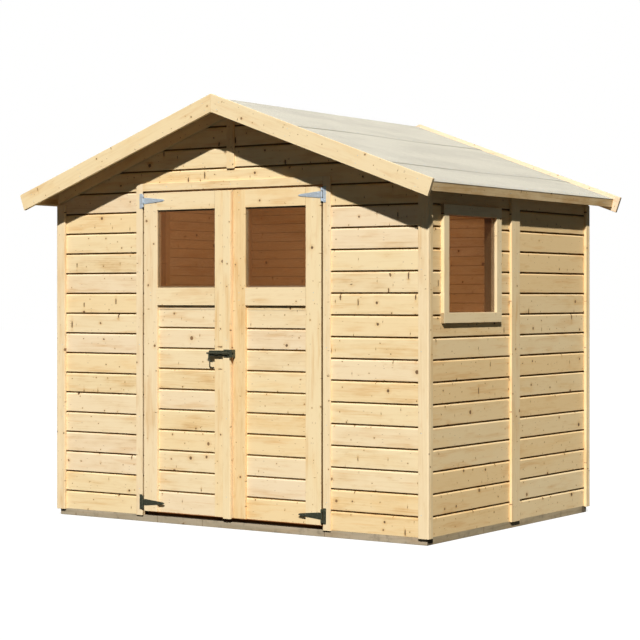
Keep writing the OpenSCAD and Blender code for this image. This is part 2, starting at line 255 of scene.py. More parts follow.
    # dull smears, mostly beside knots
    smear = t.noise(t.vmath("MULTIPLY", p, (12.0, 46.0, 46.0)), 1.0, 4.0, 0.65)
    smear = t.math("MULTIPLY", t.span(smear, 0.56, 0.74, 0.0, 1.0), t.math("ADD", t.math("MULTIPLY", halo, 0.60), 0.36))
    colour = t.mix(smear, colour, t.mix(1.0, colour, (0.80, 0.68, 0.52), "MULTIPLY"))
    # resin dots and short dashes
    dash = t.voronoi(t.vmath("MULTIPLY", pw, (19.0, 60.0, 0.0)), 1.0, "2D")
    dr, dg, db = t.sep(dash["Color"])
    dots = t.math("MULTIPLY", t.span(dash["Distance"], 0.12, 0.05, 0.0, 1.0), t.math("GREATER_THAN", dr, 0.90))
    colour = t.mix(t.math("MULTIPLY", dots, 0.65), colour, (0.33, 0.185, 0.085))
    # knots
    colour = t.mix(t.math("MULTIPLY", halo, 0.38), colour, t.mix(1.0, colour, (0.86, 0.70, 0.50), "MULTIPLY"))
    inner = t.mix(t.span(cb, 0.15, 0.6, 0.0, 1.0), (0.26, 0.135, 0.058), (0.12, 0.062, 0.030))
    colour = t.mix(t.math("MULTIPLY", core, 0.92), colour, inner)
    colour = t.mix(t.math("MULTIPLY", rim, 0.6), colour, (0.095, 0.050, 0.025))
    if saw:
        marks = t.noise(t.vmath("MULTIPLY", p, (210.0, 14.0, 14.0)), 1.0, 2.0, 0.6)
        colour = t.mix(t.span(marks, 0.45, 0.75, 0.0, 0.30 * saw), colour, t.mix(1.0, colour, (0.80, 0.78, 0.74), "MULTIPLY"))
    if grey:
        g = t.noise(t.vmath("MULTIPLY", p, (2.5, 14.0, 14.0)), 1.0, 4.0, 0.6)
        colour = t.mix(t.span(g, 0.40, 0.70, 0.0, grey), colour, (0.215, 0.195, 0.130))
        g2 = t.noise(p, 26.0, 4.0, 0.6)
        colour = t.mix(t.span(g2, 0.52, 0.72, 0.0, grey * 0.8), colour, (0.085, 0.075, 0.055))
    # painted shade in the joints and on edges hidden in shade, which also turn rougher; the same darkening marks the
    # end grain, which is darker of itself
    colour = t.mix(t.fac("deep"), colour, t.mix(1.0, colour, shade_and_end_grain, "MULTIPLY"))

    height = t.math("ADD", t.math("MULTIPLY", late, -0.35), t.math("MULTIPLY", fibre, 0.7))
    height = t.math("ADD", height, t.math("MULTIPLY", core, 0.45))
    height = t.math("SUBTRACT", height, t.math("MULTIPLY", rim, 0.6))
    if saw:
        height = t.math("ADD", height, t.math("MULTIPLY", marks, 1.6 * saw))
    normal = t.bump(height, 0.35, 0.0006 if saw else 0.00035)
    r = t.math("ADD", t.math("MULTIPLY", speck, 0.16), rough - 0.08)
    r = t.math("SUBTRACT", r, t.math("MULTIPLY", core, 0.16))
    r = t.math("ADD", r, t.math("MULTIPLY", t.fac("deep"), 0.32), clamp=True)
    return t.surface(colour=colour, rough=r, normal=normal, specular=0.26)


def felt_material():
    """Mineral felt: fine pale granules, darker bare specks, rain marks and soft stains; each lap has a dark line just
    below its edge.
    """
    t = Tree("roofing_felt")
    p = t.attr("gco")
    tone_x, tone_y, tone_z = t.sep(t.attr("tone"))
    grit = t.voronoi(p, 620.0, "3D")
    gr, gg, gb = t.sep(grit["Color"])
    fine = t.noise(p, 900.0, 2.0, 0.6)
    cloud = t.noise(t.vmath("MULTIPLY", p, (4.6, 1.0, 3.0)), 1.0, 5.0, 0.58)
    run = t.noise(t.vmath("MULTIPLY", p, (1.1, 26.0, 8.0)), 1.0, 3.0, 0.6)
    colour = t.ramp(gr, [(0.0, (0.530, 0.498, 0.414)), (0.5, (0.621, 0.585, 0.485)), (1.0, (0.713, 0.681, 0.581))])
    colour = t.mix(t.math("MULTIPLY", t.math("GREATER_THAN", gg, 0.93), 0.45), colour, (0.36, 0.34, 0.29))
    colour = t.mix(t.span(cloud, 0.40, 0.62, 0.0, 0.75), colour, t.mix(1.0, colour, (0.86, 0.855, 0.86), "MULTIPLY"))
    colour = t.mix(t.span(run, 0.42, 0.72, 0.0, 0.40), colour, t.mix(1.0, colour, (0.90, 0.905, 0.90), "MULTIPLY"))
    colour = t.mix(tone_y, colour, (0.23, 0.215, 0.18))
    h = t.math("ADD", t.math("MULTIPLY", grit["Distance"], -1.0), t.math("MULTIPLY", fine, 0.5))
    normal = t.bump(h, 0.30, 0.0007)
    return t.surface(colour=colour, rough=t.math("ADD", t.math("MULTIPLY", fine, 0.1), 0.80), normal=normal, specular=0.22)


def steel_material(name, base, darker, metal, rough):
    """Zinc-coated steel: soft spangle, dull streaks and a few rubbed marks in the relief."""
    t = Tree(name)
    p = t.attr("gco")
    cells = t.voronoi(p, 210.0, "3D")
    cr, cg, cb = t.sep(cells["Color"])
    cloud = t.noise(p, 55.0, 4.0, 0.6)
    rub = t.noise(t.vmath("MULTIPLY", p, (60.0, 420.0, 420.0)), 1.0, 2.0, 0.5)
    colour = t.mix(t.math("MULTIPLY", cr, 0.5), base, darker)
    colour = t.mix(t.span(cloud, 0.45, 0.7, 0.0, 0.5), colour, darker)
    r = t.math("ADD", t.math("MULTIPLY", cloud, 0.22), t.math("ADD", t.math("MULTIPLY", cg, 0.08), rough - 0.12))
    m = t.math("SUBTRACT", metal, t.span(cloud, 0.5, 0.75, 0.0, 0.25))
    normal = t.bump(t.math("ADD", cloud, t.math("MULTIPLY", rub, 0.35)), 0.18, 0.0006)
    return t.surface(colour=colour, rough=r, metal=m, normal=normal, specular=0.5)


def glass_material():
    """Thin clear acrylic whose brown colour paints part of the warm-lit room seen through it: lets most light through
    and keeps a clear surface shine.
    """
    t = Tree("window_pane")
    p = t.attr("gco")
    room_mottle = t.noise(t.vmath("MULTIPLY", p, (3.0, 1.2, 3.0)), 1.0, 2.0, 0.5)
    # painted light: the pane's mottled brown stands in for the warm-lit wood behind it
    colour = t.mix(t.span(room_mottle, 0.35, 0.7, 0.0, 1.0), (0.110, 0.052, 0.020), (0.165, 0.082, 0.036))
    normal = t.bump(t.noise(p, 6.0, 1.0, 0.5), 0.08, 0.002)
    return t.surface(colour=colour, rough=0.045, normal=normal, alpha=0.42, specular=0.6, ior=1.49)


LIGHT, MID, DARK = (0.893, 0.720, 0.438), (0.840, 0.650, 0.370), (0.640, 0.430, 0.205)
spruce = wood("spruce_boards", LIGHT, MID, DARK, knots=0.60, knot_size=1.08, patch=0.50)
planed = wood("spruce_planed", (0.905, 0.725, 0.440), (0.850, 0.655, 0.375), (0.660, 0.450, 0.215), knots=0.45, knot_size=0.80, patch=0.36)
sawn = wood("spruce_rough", (0.76, 0.58, 0.33), (0.68, 0.485, 0.255), (0.50, 0.315, 0.140), knots=0.50, patch=0.35, saw=1.0, rough=0.78)
# treated timber's painted shade is near black
treated = wood("treated_timber", (0.475, 0.388, 0.256), (0.385, 0.308, 0.196), (0.240, 0.184, 0.110), knots=0.05, patch=0.5, saw=0.8, grey=0.42, rough=0.82, shade_and_end_grain=(0.060, 0.048, 0.032))
felt = felt_material()
# the blue cast of the zinc is partly its own colour and partly a painted sky reflection
zinc = steel_material("galvanised_steel", (0.62, 0.70, 0.78), (0.43, 0.50, 0.57), 0.35, 0.42)
dull = steel_material("galvanised_dark", (0.092, 0.099, 0.066), (0.040, 0.044, 0.029), 0.45, 0.40)
pane = glass_material()

# ---------------------------------------------------------------- mesh helpers
UP = np.array((0.0, 0.0, 1.0))
EX = np.array((1.0, 0.0, 0.0))
EY = np.array((0.0, 1.0, 0.0))
rng = random.Random(20)
END_GRAIN = 0.62


def box(node):
    lo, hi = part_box(node)
    return np.array(lo, float), np.array(hi, float)


def tone(light=0.0, warm=0.0, knots=0.0, spread=1.0):
    """One board's own lightness, warmth and share of knots."""
    return (light + spread * rng.uniform(-1, 1), warm + spread * rng.uniform(-0.75, 0.60), knots + spread * rng.uniform(-1, 1))


def offset():
    return np.array((rng.uniform(-40, 40), rng.uniform(-40, 40), rng.uniform(-40, 40)))


class Piece:
    """Gathers closed solids into one mesh, with each vertex's grain coordinates and tone."""

    def __init__(self, name):
        self.name = name
        self.v, self.g, self.t, self.d, self.f, self.m = [], [], [], [], [], []

    def add(self, verts, faces, grain, shade, mat=0, deep=None):
        base = len(self.v)
        self.d.extend([0.0] * len(verts) if deep is None else map(float, deep))
        self.v.extend(map(tuple, verts))
        self.g.extend(map(tuple, grain))
        self.t.extend([tuple(shade)] * len(verts))
        for f in faces:
            self.f.append(tuple(base + i for i in f))
            self.m.append(mat)

    def make(self, body, materials, nodes=(), angle=32.0):
        me = bpy.data.meshes.new(self.name)
        me.from_pydata(self.v, [], self.f)
        me.polygons.foreach_set("material_index", self.m)
        for mat in materials:
            me.materials.append(mat)
        for key, values in (("gco", self.g), ("tone", self.t)):
            a = me.attributes.new(key, "FLOAT_VECTOR", "POINT")
            a.data.foreach_set("vector", np.array(values, np.float32).ravel())
        # deep: each vertex's share of painted shade and end-grain darkening
        a = me.attributes.new("deep", "FLOAT", "POINT")
        a.data.foreach_set("value", np.array(self.d, np.float32))
        me.validate()
        me.polygons.foreach_set("use_smooth", [True] * len(me.polygons))
        me.set_sharp_from_angle(angle=math.radians(angle))
        me.update()
        ob = bpy.data.objects.new(self.name, me)
        scene.collection.objects.link(ob)
        # broad faces keep flat normals beside their small rounds
        mod = ob.modifiers.new("even_normals", "WEIGHTED_NORMAL")
        mod.keep_sharp = True
        graph = bpy.context.evaluated_depsgraph_get()
        even = bpy.data.meshes.new_from_object(ob.evaluated_get(graph), preserve_all_data_layers=True, depsgraph=graph)
        ob.modifiers.clear()
        ob.data = even
        even.name = self.name
        bpy.data.meshes.remove(me)
        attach(ob, body)
        if nodes:
            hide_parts(*nodes)
        return ob


def rrect(b0, b1, c0, c1, r, seg=3):
    """Rounded rectangle in (b, c), radii at (b0,c0), (b1,c0), (b1,c1), (b0,c1)."""
    rs = (r,) * 4 if not isinstance(r, (tuple, list)) else r
    out = []
    for (cx, cy, sx, sy, a0), q in zip(
        ((b0, c0, 1, 1, 180), (b1, c0, -1, 1, 270), (b1, c1, -1, -1, 0), (b0, c1, 1, -1, 90)), rs
    ):
        n = seg if q > 0.0012 else 1
        ox, oy = cx + sx * q, cy + sy * q
        for k in range(n + 1):
            a = math.radians(a0 + 90.0 * k / n)
            out.append((ox + q * math.cos(a), oy + q * math.sin(a)))
    return out


def shrunk(poly, e):
    """The outline moved inwards by e, for the small round along an end."""
    pts = np.array(poly, float)
    nxt, prv = np.roll(pts, -1, 0), np.roll(pts, 1, 0)
    area = float(np.sum(pts[:, 0] * nxt[:, 1] - nxt[:, 0] * pts[:, 1]))
    sign = 1.0 if area > 0 else -1.0

    def normal(d):
        n = np.stack([-d[:, 1], d[:, 0]], 1) * sign
        return n / np.maximum(np.linalg.norm(n, axis=1, keepdims=True), 1e-12)

    n1, n2 = normal(pts - prv), normal(nxt - pts)
    m = n1 + n2
    k = np.maximum(np.einsum("ij,ij->i", m, m), 0.35)
    return pts + e * 2.0 * m / k[:, None]


def bar(piece, outline, origin, along, across, out, a0, a1, cuts=(), e=0.0010, mat=0, shade=None, grain=None, stations=(), deep=None):
    """A board: its outline in (across, out), run along from a0 to a1, with a fine round at both ends, then cut by planes
    (point, normal), of which the side that the normal points to is lost."""
    outline = np.array(outline, float)
    n = len(outline)
    small = shrunk(outline, e) if e else outline
    rings = [(a0, small), (a0 + e, outline)] if e else [(a0, outline)]
    rings += [(s, outline) for s in stations if a0 + e < s < a1 - e]
    rings += [(a1 - e, outline), (a1, small)] if e else [(a1, outline)]
    bm = bmesh.new()
    rows = []
    for a, shape in rings:
        rows.append([bm.verts.new(origin + along * a + across * b + out * c) for b, c in shape])
    for r0, r1 in zip(rows, rows[1:]):
        for i in range(n):
            j = (i + 1) % n
            bm.faces.new((r0[i], r0[j], r1[j], r1[i]))
    bm.faces.new(rows[0][::-1])
    bm.faces.new(rows[-1])
    for point, nrm in cuts:
        geom = bm.verts[:] + bm.edges[:] + bm.faces[:]
        got = bmesh.ops.bisect_plane(bm, geom=geom, plane_co=Vector(point), plane_no=Vector(nrm), clear_outer=True, dist=1e-6)
        edges = [x for x in got["geom_cut"] if isinstance(x, bmesh.types.BMEdge) and x.is_boundary]
        if edges:
            bmesh.ops.edgeloop_fill(bm, edges=edges)
    bmesh.ops.recalc_face_normals(bm, faces=bm.faces[:])
    bm.verts.ensure_lookup_table()
    bm.verts.index_update()
    if len(bm.verts) >= 4:
        co = np.array([v.co for v in bm.verts], float)
        d = co - origin
        local = np.stack([d @ along, d @ across, d @ out], 1)
        g = local + (offset() if grain is None else grain)
        shade_and_end_grain = np.zeros(len(co)) if deep is None else np.array(deep(co, local), float)
        if e:
            ends = (np.abs(local[:, 0] - a0) < 1e-5) | (np.abs(local[:, 0] - a1) < 1e-5)
            shade_and_end_grain = np.where(ends, np.maximum(shade_and_end_grain, END_GRAIN), shade_and_end_grain)
        piece.add(co, [[v.index for v in f.verts] for f in bm.faces], g, tone() if shade is None else shade, mat, shade_and_end_grain)
    bm.free()


def clip_b(poly, lo, hi):
    """Keeps the part of an outline with lo <= b <= hi."""
    for limit, keep_above in ((lo, True), (hi, False)):
        out = []
        for i, p in enumerate(poly):
            q = poly[(i + 1) % len(poly)]
            pi = p[0] >= limit - 1e-9 if keep_above else p[0] <= limit + 1e-9
            qi = q[0] >= limit - 1e-9 if keep_above else q[0] <= limit + 1e-9
            if pi:
                out.append(p)
            if pi != qi:
                s = (limit - p[0]) / (q[0] - p[0])
                out.append((limit, p[1] + s * (q[1] - p[1])))
        poly = out
        if not poly:
            return []
    clean = []
    for p in poly:
        if not clean or math.hypot(p[0] - clean[-1][0], p[1] - clean[-1][1]) > 1e-6:
            clean.append(p)
    if len(clean) > 1 and math.hypot(clean[0][0] - clean[-1][0], clean[0][1] - clean[-1][1]) < 1e-6:
        clean.pop()
    return clean


def board_outline(g, G, thick, recess=0.0085, gap=0.0042, chamfer=0.0070, bead=0.0028, top_gap=None):
    """Section of a profiled tongue-and-groove board between two joint lines g and G: a flat face with a rounded lower
    edge, and a long bevel at the top that runs into the dark groove under the next board."""
    b, r, mid, tg = g + gap, 0.0016, (g + G) / 2, gap if top_gap is None else top_gap
    return [
        (g, -thick + bead), (g, -recess), (b, -recess), (b, -r), (b + 0.3 * r, -0.45 * r), (b + r, 0.0),
        (G - tg - chamfer - 0.0014, 0.0), (G - tg - chamfer + 0.0003, -0.0006), (G - tg - 0.0006, -recess + 0.0004),
        (G - tg, -recess), (G, -recess), (G, -thick + bead), (G - bead, -thick),
        (mid + bead, -thick), (mid, -thick + bead), (mid - bead, -thick), (g + bead, -thick),
    ]


def groove_shade(thick, recess, bead=0.0028):
    """Painted shade: darkens the outer joints and the beads of the inner face, where shade falls."""

    def f(co, local):
        c = local[:, 2]
        joint = np.abs(c + recess) < 0.0002
        inner = np.abs(c + thick - bead) < 0.0002
        return np.where(joint, 1.0, np.where(inner, 0.9, 0.0))

    return f


PITCH, FIRST = 0.115, 0.028
boards = {}


def board_look(key, warm=0.0, light=0.0):
    """A board keeps its grain and tone where an opening cuts it into several lengths."""
    if key not in boards:
        boards[key] = (offset(), tone(light=light, warm=warm))
    return boards[key]


def clad(piece, key, origin, along, out, a0, a1, z0, z1, cuts=(), thick=0.016, first=FIRST, warm=0.0, light=0.0, recess=0.0085):
    k = math.floor((z0 - first) / PITCH + 1e-6)
    shade_and_end_grain = groove_shade(thick, recess)
    while first + k * PITCH < z1 - 1e-6:
        g = first + k * PITCH
        poly = clip_b(board_outline(g, g + PITCH, thick, recess), z0, z1)
        if len(poly) >= 3 and max(p[0] for p in poly) - min(p[0] for p in poly) > 0.002:
            where, shade = board_look((key, k), warm, light)
            bar(piece, poly, origin, along, UP, out, a0, a1, cuts, e=0.0, shade=shade, grain=where, deep=shade_and_end_grain)
        k += 1


def edge_shade(axis, at, amount=1.0, reach=0.0004):
    """Painted shade on the face that lies at one value along an axis."""
    k = "xyz".index(axis)
    return lambda co, local: np.where(np.abs(co[:, k] - at) < reach, amount, 0.0)


def plank(piece, lo, hi, axis, r=0.002, cuts=(), mat=0, shade=None, e=0.0012, radii=None, flip=1, seg=3, deep=None):
    """A squared timber that fills the box lo..hi, with its grain along one axis and rounded edges."""
    lo, hi = np.array(lo, float), np.array(hi, float)
    a = "xyz".index(axis)
    rest = [i for i in range(3) if i != a]
    rest.sort(key=lambda i: -(hi[i] - lo[i]))
    eye = np.eye(3)
    mid = (lo + hi) / 2
    hb, hc = (hi[rest[0]] - lo[rest[0]]) / 2, (hi[rest[1]] - lo[rest[1]]) / 2
    r = min(r, hb * 0.9, hc * 0.9)
    ha = (hi[a] - lo[a]) / 2
    bar(piece, rrect(-hb, hb, -hc, hc, radii if radii else r, seg), mid, eye[a], eye[rest[0]], eye[rest[1]] * flip, -ha, ha, cuts, e=min(e, ha / 3), mat=mat, shade=shade, deep=deep)


def lathe(piece, origin, axis, profile, seg=20, mat=0, shade=(0, 0, 0), grain=None):
    """A turned solid: profile is [(distance along the axis, radius)]."""
    axis = np.array(axis, float) / np.linalg.norm(axis)
    u = np.cross(axis, EX if abs(axis[0]) < 0.8 else EY)
    u /= np.linalg.norm(u)
    w = np.cross(axis, u)
    origin = np.array(origin, float)
    verts, faces, rows = [], [], []
    for a, r in profile:
        if r < 1e-7:
            rows.append([len(verts)])
            verts.append(origin + axis * a)
        else:
            rows.append(list(range(len(verts), len(verts) + seg)))
            for k in range(seg):
                t = 2 * math.pi * k / seg
                verts.append(origin + axis * a + r * (u * math.cos(t) + w * math.sin(t)))
    for r0, r1 in zip(rows, rows[1:]):
        for k in range(seg):
            j = (k + 1) % seg
            if len(r0) == 1 and len(r1) == 1:
                continue
            if len(r0) == 1:
                faces.append((r0[0], r1[j], r1[k]))
            elif len(r1) == 1:
                faces.append((r0[k], r0[j], r1[0]))
            else:
                faces.append((r0[k], r0[j], r1[j], r1[k]))
    if len(rows[0]) > 1:
        faces.append(tuple(rows[0][::-1]))
    if len(rows[-1]) > 1:
        faces.append(tuple(rows[-1]))
    verts = np.array(verts)
    g = (verts - origin) + (offset() if grain is None else grain)
    piece.add(verts, faces, g, shade, mat)


def nail(piece, at, out, r=0.0024, mat=1):
    """A flat round nail head, 0.4 mm proud."""
    at, out = np.array(at, float), np.array(out, float)
    lathe(piece, at - out * 0.0015, out, [(0.0, r), (0.0017, r), (0.0019, r * 0.86), (0.0019, 0.0)], 10, mat)


def screw(piece, at, out, r=0.0038, mat=0, turn=0.0):
    """A pan-head screw with a cross recess."""
    at, out = np.array(at, float), np.array(out, float) / np.linalg.norm(out)
    u = np.cross(out, EX if abs(out[0]) < 0.8 else UP)
    u /= np.linalg.norm(u)
    w = np.cross(out, u)
    c, s = math.cos(turn), math.sin(turn)
    u, w = u * c + w * s, w * c - u * s
    seg, h = 16, r * 0.5
    verts, faces = [], []

    def ring(radius, height):
        start = len(verts)
        for k in range(seg):
            t = 2 * math.pi * k / seg
            verts.append(at + out * height + radius * (u * math.cos(t) + w * math.sin(t)))
        return list(range(start, start + seg))

    rows = [ring(r, -0.001), ring(r, 0.0), ring(r * 0.93, h * 0.55), ring(r * 0.72, h * 0.9), ring(r * 0.60, h)]
    # the recess: a plus sign whose corners lie on the last ring
    cross = []
    for k in range(seg):
        t = 2 * math.pi * k / seg
        arm = abs(math.cos(2 * t)) ** 0.5
        rad = r * (0.13 + 0.40 * arm * arm * arm)
        cross.append(len(verts))
        verts.append(at + out * h + rad * (u * math.cos(t) + w * math.sin(t)))
    deep = []
    for k in range(seg):
        deep.append(len(verts))
        verts.append(np.array(verts[cross[k]]) * 0.7 + (at + out * h) * 0.3 - out * h * 0.8)
    for r0, r1 in list(zip(rows, rows[1:])) + [(rows[-1], cross), (cross, deep)]:
        for k in range(seg):
            j = (k + 1) % seg
            faces.append((r0[k], r0[j], r1[j], r1[k]))
    faces.append(tuple(rows[0][::-1]))
    faces.append(tuple(deep))
    verts = np.array(verts)
    piece.add(verts, faces, verts - at + offset(), (0, 0, 0), mat)


def plate2d(piece, outline, origin, u, w, out, thick, bevel=0.0006, mat=0):
    """A flat plate of any outline in (u, w), thick along out, with its face edges eased."""
    outline = np.array(outline, float)
    small = shrunk(outline, bevel)
    n = len(outline)
    rows, verts = [], []
    for d, shape in ((0.0, outline), (thick - bevel, outline), (thick, small)):
        rows.append(list(range(len(verts), len(verts) + n)))
        for a, b in shape:
            verts.append(origin + u * a + w * b + out * d)
    faces = []
    for r0, r1 in zip(rows, rows[1:]):
        for k in range(n):
            j = (k + 1) % n
            faces.append((r0[k], r0[j], r1[j], r1[k]))
    faces.append(tuple(rows[0][::-1]))
    faces.append(tuple(rows[-1]))
    verts = np.array(verts)
    area = float(np.sum(outline[:, 0] * np.roll(outline[:, 1], -1) - np.roll(outline[:, 0], -1) * outline[:, 1]))
    if area * float(np.dot(np.cross(u, w), out)) < 0:
        faces = [f[::-1] for f in faces]
    piece.add(verts, faces, verts - origin + offset(), (0, 0, 0), mat)


def round_outline(points, radii, seg=4):
    """Rounds the corners of a polygon."""
    out, n = [], len(points)
    for i in range(n):
        p, a, b = (np.array(points[j % n], float) for j in (i, i - 1, i + 1))
        r = radii[i] if isinstance(radii, (list, tuple)) else radii
        da, db = a - p, b - p
        la, lb = np.linalg.norm(da), np.linalg.norm(db)
        r = min(r, la * 0.45, lb * 0.45)
        if r < 1e-5:
            out.append(tuple(p))
            continue
        pa, pb = p + da / la * r, p + db / lb * r
        for k in range(seg + 1):
            t = k / seg
            q = (1 - t) ** 2 * pa + 2 * t * (1 - t) * p + t * t * pb
            out.append(tuple(q))
    return out


# ---------------------------------------------------------------- main sizes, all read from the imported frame
W_LO, W_HI = box("front_wall_left")[0], box("front_wall_right")[1]
FX = W_HI[0]                                   # outer face of the side walls
FY = W_LO[1]                                   # outer face of the front wall
RY = box("rear_wall_left")[1][1]               # outer face of the rear wall
T = box("front_wall_left")[1][1] - FY          # board thickness
WZ0 = W_LO[2]
MID_Y = box("right_wall_rear")[0][1]
PITCH_A = math.radians(20.0)
SP, CP, TP = math.sin(PITCH_A), math.cos(PITCH_A), math.tan(PITCH_A)
RIDGE = box("front_bargeboards")[1][2] + 0.0005 * TP
DOWN = {1: np.array((CP, 0, -SP)), -1: np.array((-CP, 0, -SP))}      # down the slope
IN = {1: np.array((-SP, 0, -CP)), -1: np.array((SP, 0, -CP))}        # into the roof
TOP = np.array((0, 0, RIDGE))
deck_hi = box("roof_deck_right")[1][2]
felt_hi = box("roof_felt_right")[1][2]
T_FELT = (RIDGE - felt_hi) * CP                # depth of the felt's face below the bargeboard edge
T_DECK = (RIDGE - deck_hi) * CP
T_LOW = T_DECK + 0.016
HEAD_Z = box("front_wall_left")[1][2]


def under_cuts(t=T_LOW + 0.0001):
    """Both slopes' planes at depth t, as cuts for what stands under the roof."""
    return [(TOP + IN[s] * t, -IN[s]) for s in (1, -1)]


# ---------------------------------------------------------------- base and floor
p = Piece("base_cross_beams")
lo, hi = box("cross_beams")
side_lo, side_hi = box("side_beams")
bw = side_lo[1] - lo[1]
for y in (lo[1], hi[1] - bw):
    # painted shade on the top faces of the cross beams, for the shade under the door leaves
    plank(p, (lo[0], y, lo[2]), (hi[0], y + bw, hi[2]), "x", r=0.0022, deep=edge_shade("z", hi[2], 1.0))
p.make("shed", [treated], ["cross_beams"])
p = Piece("base_side_beams")
for x in (side_lo[0], side_hi[0] - bw):
    plank(p, (x, side_lo[1], lo[2]), (x + bw, side_hi[1], hi[2]), "y", r=0.0022)
p.make("shed", [treated], ["side_beams"])
p = Piece("base_joists")
jl, jh = box("floor_joists")
step = (jh[0] - jl[0] - bw) / 2
for k in range(3):
    plank(p, (jl[0] + k * step, jl[1], jl[2]), (jl[0] + k * step + bw, jh[1], jh[2]), "y", r=0.0022)
p.make("shed", [treated], ["floor_joists"])

p = Piece("floor_boarding")
fl, fh = box("floor_boards")
n = 19
w = (fh[1] - fl[1]) / n
for k in range(n):
    y0 = fl[1] + k * w
    mid = np.array((0.0, y0 + w / 2, fl[2]))
    outline = [(-w / 2, 0.0), (w / 2, 0.0), (w / 2, 0.0136), (w / 2 - 0.0016, 0.016), (-w / 2 + 0.0016, 0.016), (-w / 2, 0.0136)]
    # painted shade on the front edge of the floor boards, seen under the doors
    bar(p, outline, mid, EX, EY, UP, fl[0], fh[0], e=0.0, deep=edge_shade("y", fl[1], 1.0))
    for x in (-1.205, -0.6105, 0.0, 0.6105, 1.205):
        for dy in (0.022, w - 0.022):
            nail(p, (x, y0 + dy, fh[2]), UP, r=0.0028)
p.make("shed", [sawn, zinc], ["floor_boards"])

# ---------------------------------------------------------------- walls
FRONT, REAR = np.array((0, -1.0, 0)), np.array((0, 1.0, 0))
RIGHT, LEFT = np.array((1.0, 0, 0)), np.array((-1.0, 0, 0))


def wall(name, node, origin, along, out, a0, a1, z0, z1, key, cuts=(), warm=0.0, light=0.0):
    q = Piece(name)
    for part in (z0 if isinstance(z0, list) else [(a0, a1, z0, z1)]):
        clad(q, key, origin, along, out, *part, cuts=cuts, warm=warm, light=light)
    return q.make("shed", [spruce], [node])


lo, hi = box("front_wall_left")
wall("front_boards_left", "front_wall_left", np.array((0, FY, 0)), EX, FRONT, lo[0], hi[0], lo[2], hi[2], "fl", light=0.0)
lo, hi = box("front_wall_right")
wall("front_boards_right", "front_wall_right", np.array((0, FY, 0)), EX, FRONT, lo[0], hi[0], lo[2], hi[2], "fr", light=0.15)
lo, hi = box("front_gable")
wall("gable_boards", "front_gable", np.array((0, FY, 0)), EX, FRONT, lo[0], hi[0], lo[2], hi[2] + 0.02, "fg", cuts=under_cuts())
for side, node in ((-1, "rear_wall_left"), (1, "rear_wall_right")):
    lo, hi = box(node)
    wall("rear_boards_" + ("left" if side < 0 else "right"), node, np.array((0, RY, 0)), EX, REAR, lo[0], hi[0], lo[2], hi[2] + 0.02, "r%d" % side, cuts=under_cuts())
SIDE_TOP = box("right_wall_upper")[1][2]
for node in ("left_wall_front", "left_wall_rear"):
    lo, hi = box(node)
    wall(node.replace("wall", "boards"), node, np.array((-FX, 0, 0)), EY, LEFT, lo[1], hi[1], lo[2], hi[2], node, warm=0.25)
# painted light: the right side's boards, here and beside the window, are made lighter and warmer than the front's, for
# the look that side has in its light
for node in ("right_wall_lower", "right_wall_upper", "right_wall_rear"):
    lo, hi = box(node)
    wall(node.replace("wall", "boards"), node, np.array((FX, 0, 0)), EY, RIGHT, lo[1], hi[1], lo[2], hi[2], "rear" if "rear" in node else "rs", warm=0.98, light=0.95)
lo, hi = box("right_wall_piers")
win_lo, win_hi = box("window_rails")
wall("right_boards_beside_window", "right_wall_piers", np.array((FX, 0, 0)), EY, RIGHT, 0, 0,
     [(lo[1], win_lo[1], lo[2], hi[2]), (win_hi[1], hi[1], lo[2], hi[2])], 0, "rs", warm=0.98, light=0.95)

# ---------------------------------------------------------------- side window
m = box("window_rails")[1][1] - box("window_rails")[0][1]
gl, gh = box("window_glass")
wm = gl[1] - win_lo[1]                          # width of a frame member
p = Piece("side_window_rails")
for z0 in (win_lo[2], win_hi[2] - wm):
    plank(p, (win_lo[0], win_lo[1], z0), (win_hi[0], win_hi[1], z0 + wm), "y", r=0.0026, shade=tone(light=0.2, spread=0.5))
p.make("shed", [planed], ["window_rails"])
p = Piece("side_window_stiles")
for y0 in (win_lo[1], win_hi[1] - wm):
    plank(p, (win_lo[0], y0, win_lo[2] + wm), (win_hi[0], y0 + wm, win_hi[2] - wm), "z", r=0.0026, e=0.0, shade=tone(light=0.2, spread=0.5))
# quarter-round beads on the inside hold the pane
for y0, y1 in ((gl[1], gl[1] + 0.004), (gh[1] - 0.004, gh[1])):
    plank(p, (win_lo[0], y0, gl[2]), (gl[0], y1, gh[2]), "z", r=0.001, e=0.0)
p.make("shed", [planed], ["window_stiles"])


def pane_piece(name, node, body):
    q = Piece(name)
    lo, hi = box(node)
    plank(q, lo, hi, "z", r=0.0005, e=0.0004, shade=(0, 0, 0))
    return q.make(body, [pane], [node])


pane_piece("side_window_pane", "window_glass", "shed")

# ---------------------------------------------------------------- trims
p = Piece("corner_boards")
lo, hi = box("corner_trims")
tw, tt = 0.062, 0.017
for sx in (-1, 1):
    for y0 in (lo[1], hi[1] - tt):
        x0, x1 = sorted((sx * hi[0], sx * (hi[0] - tw)))
        outer = 0.0062
        # outline is (across = x, out = y)
        front = y0 < 0
        radii = [0.0022] * 4
        corner = {(-1, True): 0, (1, True): 1, (1, False): 2, (-1, False): 3}[(sx, front)]
        radii[corner] = outer
        mid = np.array(((x0 + x1) / 2, y0 + tt / 2, (lo[2] + hi[2]) / 2))
        hz = (hi[2] - lo[2]) / 2
        bar(p, rrect(-tw / 2, tw / 2, -tt / 2, tt / 2, radii, 5), mid, UP, EX, EY, -hz, hz, shade=tone(light=0.1, spread=0.6))
        out = FRONT if front else REAR
        for z in np.arange(lo[2] + 0.12, hi[2] - 0.05, 0.42):
            nail(p, ((x0 + x1) / 2 - sx * 0.012, y0 if front else y0 + tt, z), out)
p.make("shed", [planed, zinc], ["corner_trims"])
p = Piece("corner_edge_boards")
lo, hi = box("corner_returns")
for sx in (-1, 1):
    for y0, y1 in ((FY, FY + 0.030), (RY - 0.030, RY)):
        x0, x1 = sorted((sx * hi[0], sx * FX))
        plank(p, (x0, y0, lo[2]), (x1, y1, hi[2]), "z", r=0.0022, shade=tone(light=-0.1, warm=0.1, spread=0.5))
p.make("shed", [planed], ["corner_returns"])

